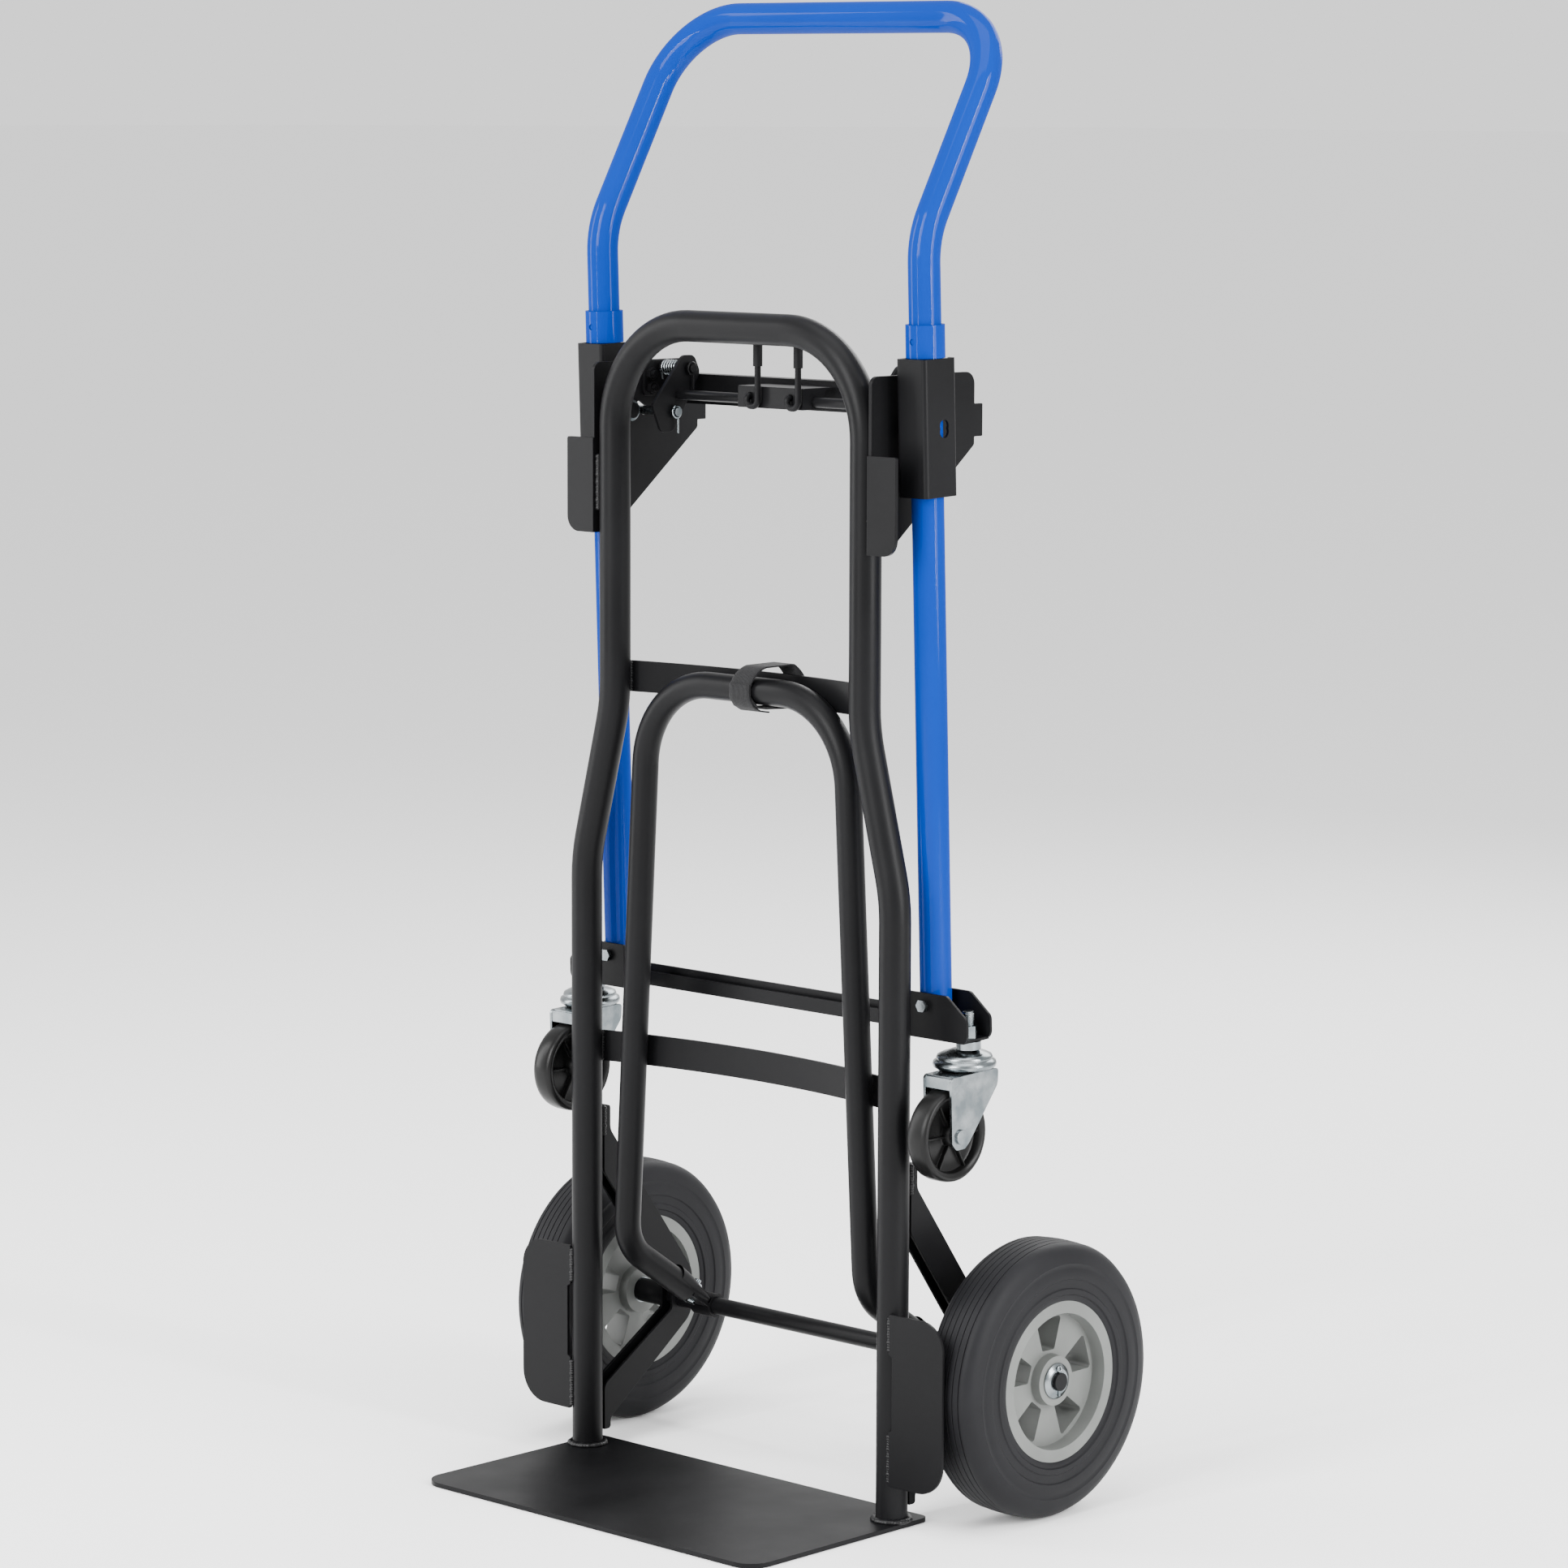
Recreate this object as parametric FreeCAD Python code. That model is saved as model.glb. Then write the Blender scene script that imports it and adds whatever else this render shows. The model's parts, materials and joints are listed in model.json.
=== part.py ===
import FreeCAD, Part
import math
import os

V = FreeCAD.Vector

# Convertible hand truck with a squeeze-released quick-change handle, all sizes in millimetres.
# The rail plane is Y = 0, the toe plate points along -Y, the floor is Z = 0 and right is +X.
# Everything is moved along Y on export, so that the origin is the bottom centre of the truck.

# Main frame: one bent tube, narrow at the top and wide at the foot
RAIL_R = 14.0
RAIL_WALL = 1.8
RAIL_HALF_LOW = 190.0
RAIL_HALF_HIGH = 153.0
RAIL_BEND_LOW_Z = 552.0
RAIL_BEND_HIGH_Z = 697.0
RAIL_BEND_R = 160.0
LOOP_TOP_Z = 1037.0
LOOP_CORNER_R = 92.0

# Toe plate
TOE_T = 4.0
TOE_SIDE = 16.5
TOE_FRONT_Y = -193.0
TOE_BACK_Y = 31.0
TOE_FRONT_CORNER_R = 22.0
TOE_BACK_CORNER_R = 8.0

# Bowed crossbars between the rails
BAR_T = 3.0
BAR_H = 28.0
BAR_END_INSET = 5.0
BAR_UPPER_TOP_Z = 733.0
BAR_UPPER_BOW_R = 650.0
BAR_LOWER_TOP_Z = 390.0
BAR_LOWER_BOW_R = 700.0

# Axle and its two channel brackets
AXLE_R = 8.0
AXLE_END = 6.5
AXLE_Y = 116.0
TYRE_R = 123.0
BRACKET_W = 16.0
BRACKET_T = 2.5
BRACKET_DEPTH = 26.0
BRACKET_TOP_Z = 320.0

# Main wheels
WHEEL_OFFSET = 66.0
TYRE_W = 58.0
TYRE_CROWN_W = 38.0
RIM_R = 71.5
RIM_W = 53.0
RIM_WEB_T = 26.0
HUB_R = 22.0
HUB_W = 44.0
BUSH_R = 12.0
RUNNING_GAP = 0.05
SPOKES = 5

# Wheel guards
GUARD_T = 2.5
GUARD_REACH = 71.0
GUARD_LOW_Z = 38.0
GUARD_TOP_Z = 191.0

# Gussets that carry the handle pivot and the latch
GUSSET_T = 3.5
GUSSET_FRONT_Y = -12.2
GUSSET_BACK_Y = 119.7
GUSSET_TOP_Z = 1001.5
EAR_LOW_Z = 849.0
EAR_TOP_Z = 934.0
EAR_OUT_X = 200.0
STOP_TAB = 10.7
STOP_TAB_LOW = 12.0
STOP_TAB_TOP = 16.5
GUSSET_KNEE_Y = 19.1
GUSSET_KNEE_Z = 857.0

# Sliding handle: tube line, lean of the lower legs and backward bend of the grip
HANDLE_R = 14.0
HANDLE_WALL = 1.5
HANDLE_HALF_W = 195.0
HANDLE_Y = 29.3
LEAN_Z = 1000.0
LEAN_DEG = 1.97
GRIP_BEND_Z = 1120.0
GRIP_BEND_R = 80.0
GRIP_TOP_Y = 131.0
GRIP_TOP_Z = 1307.0
GRIP_CORNER_R = 70.0
COLLAR_WALL = 3.0
COLLAR_H = 28.5

# Slide sleeves that turn on the gussets
SLEEVE_T = 2.5
SLEEVE_SIDE_GAP = 0.3
SLEEVE_FRONT_GAP = 3.5
SLEEVE_BACK_GAP = 4.0
SLEEVE_LOW_Z = 898.5
SLEEVE_H = 118.5
SLEEVE_LIP = 8.0
SIGHT_R = 5.5
SIGHT_HALF_SLOT = 2.5
SIGHT_BACK = 4.0
PIVOT_Z = 957.0
PIVOT_R = 7.0

# Latch yoke
LINK_X = 131.0
LINK_T = 3.0
YOKE_Y = 71.0
YOKE_Z = 994.6
LATCH_PIN_Y = 51.4
LATCH_PIN_Z = 956.3
LATCH_PIN_R = 4.0
LATCH_TURN_DEG = 10.0
ROD_Y = 57.0
ROD_Z = 971.5
ROD_R = 4.5
LATCH_BAR_Y = 84.0
LATCH_BAR_T = 2.5
LATCH_BAR_LOW_Z = 962.0
LATCH_BAR_TOP_Z = 989.0
CRADLE_HALF_W = 39.5
CRADLE_FRONT_Y = 41.0
CRADLE_BACK_Y = 80.0
CRADLE_LOW_Z = 965.0
CRADLE_TOP_Z = 984.0
BAIL_R = 2.8
BAIL_GRIP_R = 4.2
BAIL_Y = 37.0
BAIL_W = 49.0
BAIL_HOOK_W = 13.0
BAIL_TOP_Z = 1033.0

# Caster crossmember at the foot of the handle
CASTER_BOX_LOW_Z = 428.0
CASTER_BOX_H = 40.0
CASTER_BOX_T = 2.5
CASTER_BOX_INSIDE = 21.0
CASTER_BOX_END = 13.0
CROSS_BOLT_UP = 28.8
CHANNEL_FRONT = 8.0
CHANNEL_FRONT_H = 13.0
CHANNEL_BACK_H = 19.0

# Swivel casters
STEM_OFFSET = 42.0
STEM_R = 4.8
CASTER_TRAIL = 30.0
CASTER_WHEEL_R = 41.0
CASTER_WHEEL_W = 22.0
CASTER_WHEEL_Z = 350.0
CASTER_PIN_R = 4.0
RACEWAY_R = 28.0
RACEWAY_H = 18.0
FORK_T = 2.5
FORK_CLEAR = 3.0
FORK_EYE_R = 11.0
FORK_TOP_Z = 403.0

# Folding nose extension
NOSE_R = 12.0
NOSE_WALL = 1.5
NOSE_Y = 10.3
NOSE_TOP_Z = 718.5
NOSE_TOP_HALF_W = 120.5
NOSE_LOW_HALF_W = 149.0
NOSE_LOW_Z = 195.0
NOSE_CORNER_R = 80.0
NOSE_FOOT_R = 45.0
NOSE_TONGUE_T = 5.0
CLIP_W = 24.0
CLIP_T = 3.0
CLIP_REACH = 34.0
STRAP_T = 1.5
STRAP_W = 25.0
STRAP_X = 20.0

# Hex fasteners
BOLT_R = 3.0
BOLT_HEAD_R = 5.8
BOLT_HEAD_H = 4.0

# Values that follow from the sizes above
TOUCH = 0.3
TOE_HALF_W = RAIL_HALF_LOW + TOE_SIDE
GUARD_OUT_X = RAIL_HALF_LOW + GUARD_REACH
WHEEL_MID_X = RAIL_HALF_LOW + WHEEL_OFFSET
AXLE_HALF_LEN = WHEEL_MID_X + HUB_W / 2.0 + AXLE_END
COLLAR_R = HANDLE_R + COLLAR_WALL
STEM_X = RAIL_HALF_LOW + STEM_OFFSET
CASTER_BOX_HALF_D = HANDLE_R + CASTER_BOX_T
CASTER_BOX_IN_X = HANDLE_HALF_W - CASTER_BOX_INSIDE
CASTER_BOX_OUT_X = STEM_X + CASTER_BOX_END
CROSS_BOLT_Z = CASTER_BOX_LOW_Z + CROSS_BOLT_UP
BAR_END_Y = math.sqrt(RAIL_R ** 2 - BAR_END_INSET ** 2) + TOUCH
GUSSET_IN_X = RAIL_HALF_HIGH + RAIL_R
GUSSET_OUT_X = GUSSET_IN_X + GUSSET_T
SLEEVE_IN_X = HANDLE_HALF_W - HANDLE_R - SLEEVE_SIDE_GAP - SLEEVE_T
SLEEVE_OUT_X = HANDLE_HALF_W + HANDLE_R + SLEEVE_SIDE_GAP + SLEEVE_T
ORIGIN_Y = (TOE_FRONT_Y + AXLE_Y + TYRE_R) / 2.0


def corner_arc(before, corner, after, radius):
    # Start, middle and end of the arc that rounds one corner of a path.
    back = (before - corner).normalize()
    ahead = (after - corner).normalize()
    half = back.getAngle(ahead) / 2.0
    reach = radius / math.tan(half)
    inward = (back + ahead).normalize()
    centre = corner + inward * (radius / math.sin(half))
    return corner + back * reach, centre - inward * radius, corner + ahead * reach


def rounded_path(points, radii, closed=False):
    # A wire of straight runs; each corner with a radius above zero becomes a tangent arc.
    count = len(points)
    arcs = []
    for i, point in enumerate(points):
        at_end = not closed and i in (0, count - 1)
        if at_end or radii[i] <= 0:
            arcs.append((point, None, point))
        else:
            arcs.append(corner_arc(points[i - 1], point, points[(i + 1) % count], radii[i]))
    edges = []
    for i, (start, middle, end) in enumerate(arcs):
        if middle is not None:
            edges.append(Part.Arc(start, middle, end).toShape())
        if i == count - 1 and not closed:
            break
        following = arcs[(i + 1) % count][0]
        if end.distanceToPoint(following) > 1e-6:
            edges.append(Part.LineSegment(end, following).toShape())
    return Part.Wire(edges)


def sweep_round(points, radii, radius):
    # A round bar along a rounded path.
    path = rounded_path(points, radii)
    profile = Part.Wire(Part.makeCircle(radius, points[0], points[1] - points[0]))
    return path.makePipeShell([profile], True, False)


def bent_tube(points, radii, radius, wall):
    # A hollow tube: the bore is the same path, carried past both open ends.
    first = points[0] + (points[0] - points[1]).normalize()
    last = points[-1] + (points[-1] - points[-2]).normalize()
    bore = sweep_round([first] + points[1:-1] + [last], radii, radius - wall)
    return sweep_round(points, radii, radius).cut(bore)


def plate(points, radii, thickness):
    # A flat sheet: the rounded outline, extruded by a vector.
    return Part.Face(rounded_path(points, radii, True)).extrude(thickness)


def plate_yz(outline, radii, x_low, x_high):
    return plate([V(x_low, y, z) for y, z in outline], radii, V(x_high - x_low, 0, 0))


def plate_xz(outline, radii, y_low, y_high):
    return plate([V(x, y_low, z) for x, z in outline], radii, V(0, y_high - y_low, 0))


def block(x_low, x_high, y_low, y_high, z_low, z_high):
    return Part.makeBox(x_high - x_low, y_high - y_low, z_high - z_low, V(x_low, y_low, z_low))


def bar_x(x_low, x_high, y, z, radius):
    return Part.makeCylinder(radius, x_high - x_low, V(x_low, y, z), V(1, 0, 0))


def bar_y(x, y_low, y_high, z, radius):
    return Part.makeCylinder(radius, y_high - y_low, V(x, y_low, z), V(0, 1, 0))


def bar_z(x, y, z_low, z_high, radius):
    return Part.makeCylinder(radius, z_high - z_low, V(x, y, z_low), V(0, 0, 1))


def hex_prism(base, axis, across_r, height):
    # A hexagonal prism that stands on its base point along an axis.
    face = Part.Face(Part.makePolygon(
        [V(across_r * math.cos(k * math.pi / 3), across_r * math.sin(k * math.pi / 3), 0)
         for k in range(7)]))
    prism = face.extrude(V(0, 0, height))
    prism.Placement = FreeCAD.Placement(base, FreeCAD.Rotation(V(0, 0, 1), axis))
    return prism


def through_bolt(start, axis, grip):
    # Head, shank and nut of one hex bolt that clamps a stack of the given thickness.
    head = hex_prism(start - axis * BOLT_HEAD_H, axis, BOLT_HEAD_R, BOLT_HEAD_H)
    shank = Part.makeCylinder(BOLT_R, grip + 2.0 * BOLT_HEAD_H, start, axis)
    nut = hex_prism(start + axis * grip, axis, BOLT_HEAD_R, BOLT_HEAD_H)
    return head.fuse([shank, nut]).removeSplitter()


def hairpin(x, y, z, loop_r):
    # A hairpin cotter in the plane across a pin: a round eye and two legs.
    wire_r = 1.0
    eye = Part.makeTorus(loop_r, wire_r, V(x, y, z), V(1, 0, 0))
    legs = [bar_z(x, y + side * 1.6, z - loop_r - 14.0, z - loop_r + 0.5, wire_r) for side in (-1, 1)]
    return eye.fuse(legs)


def lean(shape):
    # Tilts what is built upright on the handle's tube line to the line's own slope.
    tilted = shape.copy()
    tilted.rotate(V(0, HANDLE_Y, LEAN_Z), V(1, 0, 0), LEAN_DEG)
    return tilted


def mirrored(shape):
    return shape.mirror(V(0, 0, 0), V(1, 0, 0))


def save(name, shape):
    placed = shape.copy()
    placed.translate(V(0, -ORIGIN_Y, 0))
    placed.exportStep("parts/" + name + ".step")


def save_pair(name, right_shape):
    save(name + "_right", right_shape)
    save(name + "_left", mirrored(right_shape))


def save_group(name, solids):
    save(name, Part.makeCompound(solids))


def both(right_shape):
    return [right_shape, mirrored(right_shape)]


# ---- main frame ----

def main_frame_tube():
    half = [V(RAIL_HALF_LOW, 0, TOE_T), V(RAIL_HALF_LOW, 0, RAIL_BEND_LOW_Z),
            V(RAIL_HALF_HIGH, 0, RAIL_BEND_HIGH_Z), V(RAIL_HALF_HIGH, 0, LOOP_TOP_Z)]
    points = half + [V(-p.x, p.y, p.z) for p in reversed(half)]
    bends = [0, RAIL_BEND_R, RAIL_BEND_R, LOOP_CORNER_R]
    return bent_tube(points, bends + bends[::-1], RAIL_R, RAIL_WALL)


def toe_plate():
    outline = [V(-TOE_HALF_W, TOE_FRONT_Y, 0), V(TOE_HALF_W, TOE_FRONT_Y, 0),
               V(TOE_HALF_W, TOE_BACK_Y, 0), V(-TOE_HALF_W, TOE_BACK_Y, 0)]
    radii = [TOE_FRONT_CORNER_R, TOE_FRONT_CORNER_R, TOE_BACK_CORNER_R, TOE_BACK_CORNER_R]
    return plate(outline, radii, V(0, 0, TOE_T))


def crossbar(rail_half, top_z, bow_r):
    # A flat strap bowed backwards; its ends meet the back of the rails.
    end_x = rail_half - BAR_END_INSET
    end_y = BAR_END_Y
    centre_y = end_y - math.sqrt(bow_r ** 2 - end_x ** 2)
    outer_end_x = end_x * (bow_r + BAR_T) / bow_r
    outer_end_y = centre_y + (end_y - centre_y) * (bow_r + BAR_T) / bow_r
    low_z = top_z - BAR_H
    front = Part.Arc(V(-end_x, end_y, low_z), V(0, centre_y + bow_r, low_z), V(end_x, end_y, low_z))
    back = Part.Arc(V(outer_end_x, outer_end_y, low_z), V(0, centre_y + bow_r + BAR_T, low_z),
                    V(-outer_end_x, outer_end_y, low_z))
    edges = [front.toShape(), Part.makeLine(V(end_x, end_y, low_z), V(outer_end_x, outer_end_y, low_z)),
             back.toShape(), Part.makeLine(V(-outer_end_x, outer_end_y, low_z), V(-end_x, end_y, low_z))]
    return Part.Face(Part.Wire(edges)).extrude(V(0, 0, BAR_H))


def axle():
    return bar_x(-AXLE_HALF_LEN, AXLE_HALF_LEN, AXLE_Y, TYRE_R, AXLE_R)


def axle_bracket():
    # A channel that runs from the rail back around the axle and down to the rail's foot.
    foot_z = TOE_T + 12.0
    apex_y = AXLE_Y + AXLE_R + 5.0
    rail_back_y = RAIL_R + 8.0
    outline = [(RAIL_R + TOUCH, BRACKET_TOP_Z), (rail_back_y, BRACKET_TOP_Z),
               (rail_back_y, BRACKET_TOP_Z - 23.0), (apex_y, TYRE_R + 26.0), (apex_y, TYRE_R - 16.0),
               (rail_back_y, foot_z + 10.0), (rail_back_y, foot_z), (RAIL_R + TOUCH, foot_z),
               (RAIL_R + TOUCH, foot_z + 42.0), (apex_y - BRACKET_DEPTH, TYRE_R - 8.0),
               (apex_y - BRACKET_DEPTH, TYRE_R + 12.0), (RAIL_R + TOUCH, BRACKET_TOP_Z - 62.0)]
    radii = [0, 3, 14, 22, 22, 8, 3, 0, 10, 6, 6, 10]
    x_low = RAIL_HALF_LOW - BRACKET_W / 2.0
    x_high = RAIL_HALF_LOW + BRACKET_W / 2.0
    body = plate_yz(outline, radii, x_low, x_high)
    hollow = [(RAIL_R - 20.0, BRACKET_TOP_Z - 26.0), (rail_back_y - BRACKET_T, BRACKET_TOP_Z - 26.0),
              (apex_y - BRACKET_T, TYRE_R + 24.0), (apex_y - BRACKET_T, TYRE_R - 14.0),
              (rail_back_y - BRACKET_T, foot_z + 14.0), (RAIL_R - 20.0, foot_z + 14.0)]
    cut = plate_yz(hollow, [0, 12, 20, 20, 6, 0], x_low + BRACKET_T, x_high - BRACKET_T)
    bore = bar_x(x_low - 1.0, x_high + 1.0, AXLE_Y, TYRE_R, AXLE_R)
    return body.cut(cut).cut(bore)


def wheel_guard():
    # A front plate in line with the rails' front, with a slot between its two welded tabs.
    tab_x = RAIL_HALF_LOW + math.sqrt(RAIL_R ** 2 - (RAIL_R - GUARD_T) ** 2) + TOUCH
    edge_x = RAIL_HALF_LOW + 12.0
    outline = [(tab_x, GUARD_LOW_Z), (GUARD_OUT_X, GUARD_LOW_Z), (GUARD_OUT_X, GUARD_TOP_Z),
               (tab_x, GUARD_TOP_Z), (tab_x, GUARD_TOP_Z - 36.0), (edge_x, GUARD_TOP_Z - 38.0),
               (edge_x, GUARD_LOW_Z + 50.0), (tab_x, GUARD_LOW_Z + 48.0)]
    return plate_xz(outline, [2, 28, 25, 2, 1, 1, 1, 1], -RAIL_R, -RAIL_R + GUARD_T)


# ---- main wheels ----

def wheel_profile(points):
    # Turns an outline of (X, radius) pairs once around the axle.
    face = Part.Face(Part.makePolygon([V(x, AXLE_Y, TYRE_R + r) for x, r in points + points[:1]]))
    return face.revolve(V(0, AXLE_Y, TYRE_R), V(1, 0, 0), 360)


def tyre():
    side = TYRE_W / 2.0
    crown = TYRE_CROWN_W / 2.0
    seat = RIM_W / 2.0
    outline = [(-seat, RIM_R), (seat, RIM_R), (side - 1.0, RIM_R + 4.0), (side, RIM_R + 20.0),
               (side - 2.0, TYRE_R - 16.0), (side - 5.0, TYRE_R - 6.0), (crown, TYRE_R),
               (-crown, TYRE_R), (5.0 - side, TYRE_R - 6.0), (2.0 - side, TYRE_R - 16.0),
               (-side, RIM_R + 20.0), (1.0 - side, RIM_R + 4.0)]
    return wheel_profile([(WHEEL_MID_X + x, r) for x, r in outline])


def rim():
    # Outer band, thinner web and a hub, with one window between each pair of spokes.
    half = RIM_W / 2.0
    web = RIM_WEB_T / 2.0
    hub = HUB_W / 2.0
    band_in = RIM_R - 11.0
    outline = [(-half, RIM_R), (half, RIM_R), (half, band_in), (web, band_in - 1.0), (web, HUB_R + 1.0),
               (hub, HUB_R), (hub, BUSH_R), (-hub, BUSH_R), (-hub, HUB_R), (-web, HUB_R + 1.0),
               (-web, band_in - 1.0), (-half, band_in)]
    body = wheel_profile([(WHEEL_MID_X + x, r) for x, r in outline])
    for k in range(SPOKES):
        body = body.cut(rim_window(k * 360.0 / SPOKES, band_in - 3.0))
    return body


def rim_window(angle, outer_r):
    # A wedge-shaped window with rounded outline, turned to its place around the hub.
    inner_r = HUB_R + 5.0
    spread = math.radians(17.0)
    outline = [(inner_r * math.sin(-spread), inner_r * math.cos(spread)),
               (outer_r * math.sin(-spread), outer_r * math.cos(spread)),
               (outer_r * math.sin(spread), outer_r * math.cos(spread)),
               (inner_r * math.sin(spread), inner_r * math.cos(spread))]
    window = plate_yz(outline, [2, 3, 3, 2], WHEEL_MID_X - RIM_W, WHEEL_MID_X + RIM_W)
    window.rotate(V(0, 0, 0), V(1, 0, 0), angle)
    window.translate(V(0, AXLE_Y, TYRE_R))
    return window


def hub_bush():
    hub = HUB_W / 2.0
    outline = [(-hub, BUSH_R), (hub, BUSH_R), (hub, AXLE_R + RUNNING_GAP), (-hub, AXLE_R + RUNNING_GAP)]
    return wheel_profile([(WHEEL_MID_X + x, r) for x, r in outline])


def axle_ring(x_low, x_high, radius):
    return bar_x(x_low, x_high, AXLE_Y, TYRE_R, radius).cut(axle())


def axle_spacer():
    bracket_out = RAIL_HALF_LOW + BRACKET_W / 2.0
    hub_in = WHEEL_MID_X - HUB_W / 2.0
    return axle_ring(bracket_out, hub_in - TOUCH, AXLE_R + 3.0)


def axle_washer():
    hub_out = WHEEL_MID_X + HUB_W / 2.0
    return axle_ring(hub_out + TOUCH, hub_out + TOUCH + 2.0, AXLE_R + 8.0)


def axle_cotter():
    # A split pin through the end of the axle, outside the washer.
    x = WHEEL_MID_X + HUB_W / 2.0 + TOUCH + 3.6
    pin = bar_z(x, AXLE_Y, TYRE_R - AXLE_R - 5.0, TYRE_R + AXLE_R + 2.0, 1.2)
    eye = Part.makeTorus(2.4, 1.0, V(x, AXLE_Y, TYRE_R + AXLE_R + 3.2), V(1, 0, 0))
    return pin.fuse(eye).cut(axle())


# ---- gussets and latch ----

def gusset():
    # Side plate along the rail: pivot hole, latch slot, a rear stop tab and a front stop flange.
    tip_z = EAR_LOW_Z
    tab_low = PIVOT_Z - STOP_TAB_LOW
    tab_top = PIVOT_Z + STOP_TAB_TOP
    slope = (tab_low - 7.0 - GUSSET_KNEE_Z) / (GUSSET_BACK_Y - GUSSET_KNEE_Y)
    tip_y = GUSSET_KNEE_Y - (GUSSET_KNEE_Z - tip_z) / slope
    outline = [(GUSSET_FRONT_Y, GUSSET_TOP_Z), (GUSSET_BACK_Y, GUSSET_TOP_Z), (GUSSET_BACK_Y, tab_top),
               (GUSSET_BACK_Y + STOP_TAB, tab_top), (GUSSET_BACK_Y + STOP_TAB, tab_low),
               (GUSSET_BACK_Y, tab_low), (GUSSET_BACK_Y, tab_low - 7.0), (tip_y, tip_z),
               (GUSSET_FRONT_Y, tip_z)]
    body = plate_yz(outline, [8, 11, 1, 1, 1, 1, 4, 3, 0], GUSSET_IN_X, GUSSET_OUT_X)
    ear = plate_xz([(GUSSET_IN_X, EAR_LOW_Z), (EAR_OUT_X, EAR_LOW_Z), (EAR_OUT_X, EAR_TOP_Z),
                    (GUSSET_IN_X, EAR_TOP_Z)], [0, 14, 2, 0], -RAIL_R, -RAIL_R + GUSSET_T)
    body = body.fuse(ear).removeSplitter()
    pivot_y = HANDLE_Y + (LEAN_Z - PIVOT_Z) * math.sin(math.radians(LEAN_DEG))
    holes = [bar_x(GUSSET_IN_X - 1, GUSSET_OUT_X + 1, pivot_y, PIVOT_Z, PIVOT_R + RUNNING_GAP),
             bar_x(GUSSET_IN_X - 1, GUSSET_OUT_X + 1, YOKE_Y, YOKE_Z, LATCH_PIN_R)]
    holes += [bar_x(GUSSET_IN_X - 1, GUSSET_OUT_X + 1, y, z, BOLT_R) for y, z in flange_bolt_places()]
    return body.cut(holes + [latch_slot()])


def latch_slot():
    # The slot that the latch pin travels along when the yoke turns.
    turn = math.radians(-LATCH_TURN_DEG)
    dy = LATCH_PIN_Y - YOKE_Y
    dz = LATCH_PIN_Z - YOKE_Z
    end_y = YOKE_Y + dy * math.cos(turn) - dz * math.sin(turn)
    end_z = YOKE_Z + dy * math.sin(turn) + dz * math.cos(turn)
    half = LATCH_PIN_R + 0.6
    run = math.hypot(end_y - LATCH_PIN_Y, end_z - LATCH_PIN_Z)
    slot = block(GUSSET_IN_X - 5, GUSSET_OUT_X + 5, 0, run, -half, half)
    slot.rotate(V(0, 0, 0), V(1, 0, 0), math.degrees(math.atan2(end_z - LATCH_PIN_Z, end_y - LATCH_PIN_Y)))
    slot.translate(V(0, LATCH_PIN_Y, LATCH_PIN_Z))
    ends = [bar_x(GUSSET_IN_X - 5, GUSSET_OUT_X + 5, y, z, half)
            for y, z in ((LATCH_PIN_Y, LATCH_PIN_Z), (end_y, end_z))]
    return slot.fuse(ends)


def flange_bolt_places():
    return [(YOKE_Y - 14.5, YOKE_Z - 5.5), (YOKE_Y - 13.5, YOKE_Z - 18.5)]


def latch_crossmember():
    # A channel between the gussets; its end flanges are bent forward and bolted on.
    in_x = GUSSET_IN_X - LATCH_BAR_T
    back_y = LATCH_BAR_Y + LATCH_BAR_T
    web = block(-GUSSET_IN_X, GUSSET_IN_X, LATCH_BAR_Y, back_y, LATCH_BAR_LOW_Z, LATCH_BAR_TOP_Z)
    lips = [block(-in_x, in_x, LATCH_BAR_Y, back_y + 12.0, z, z + LATCH_BAR_T)
            for z in (LATCH_BAR_LOW_Z, LATCH_BAR_TOP_Z - LATCH_BAR_T)]
    flange = plate_yz([(LATCH_PIN_Y - 3.0, YOKE_Z - 25.5), (back_y, YOKE_Z - 25.5), (back_y, YOKE_Z + 6.0),
                       (LATCH_PIN_Y - 3.0, YOKE_Z + 6.0)], [4, 0, 4, 6], in_x, GUSSET_IN_X)
    body = web.fuse(lips + both(flange)).removeSplitter()
    holes = [bar_x(-GUSSET_OUT_X, GUSSET_OUT_X, y, z, BOLT_R) for y, z in flange_bolt_places()]
    return body.cut(holes + [bar_x(-GUSSET_OUT_X, GUSSET_OUT_X, YOKE_Y, YOKE_Z, LATCH_PIN_R)])


def flange_bolts():
    # Two per side: the flat outer head stays under the sleeve, the nut is inside.
    solids = []
    for y, z in flange_bolt_places():
        nut = hex_prism(V(GUSSET_IN_X - LATCH_BAR_T, y, z), V(-1, 0, 0), BOLT_HEAD_R, BOLT_HEAD_H)
        shank = bar_x(GUSSET_IN_X - LATCH_BAR_T - 7.0, GUSSET_OUT_X, y, z, BOLT_R)
        head = bar_x(GUSSET_OUT_X, GUSSET_OUT_X + 2.0, y, z, BOLT_HEAD_R)
        solids += both(shank.fuse([nut, head]))
    return solids


def link_in_x():
    return LINK_X - LINK_T / 2.0


def link_out_x():
    return LINK_X + LINK_T / 2.0


def latch_pivot_pin():
    # Headed pin on which the yoke turns, from outside the gusset to inside the link.
    shank = bar_x(link_in_x() - 6.0, GUSSET_OUT_X, YOKE_Y, YOKE_Z, LATCH_PIN_R)
    head = bar_x(GUSSET_OUT_X, GUSSET_OUT_X + 2.5, YOKE_Y, YOKE_Z, LATCH_PIN_R + 2.5)
    return shank.fuse(head)


def latch_pin():
    # Zinc pin that hangs from the link and reaches through the gusset's slot to the sleeve.
    return bar_x(link_in_x() - 6.0, SLEEVE_IN_X - 1.5, LATCH_PIN_Y, LATCH_PIN_Z, LATCH_PIN_R)


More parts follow.
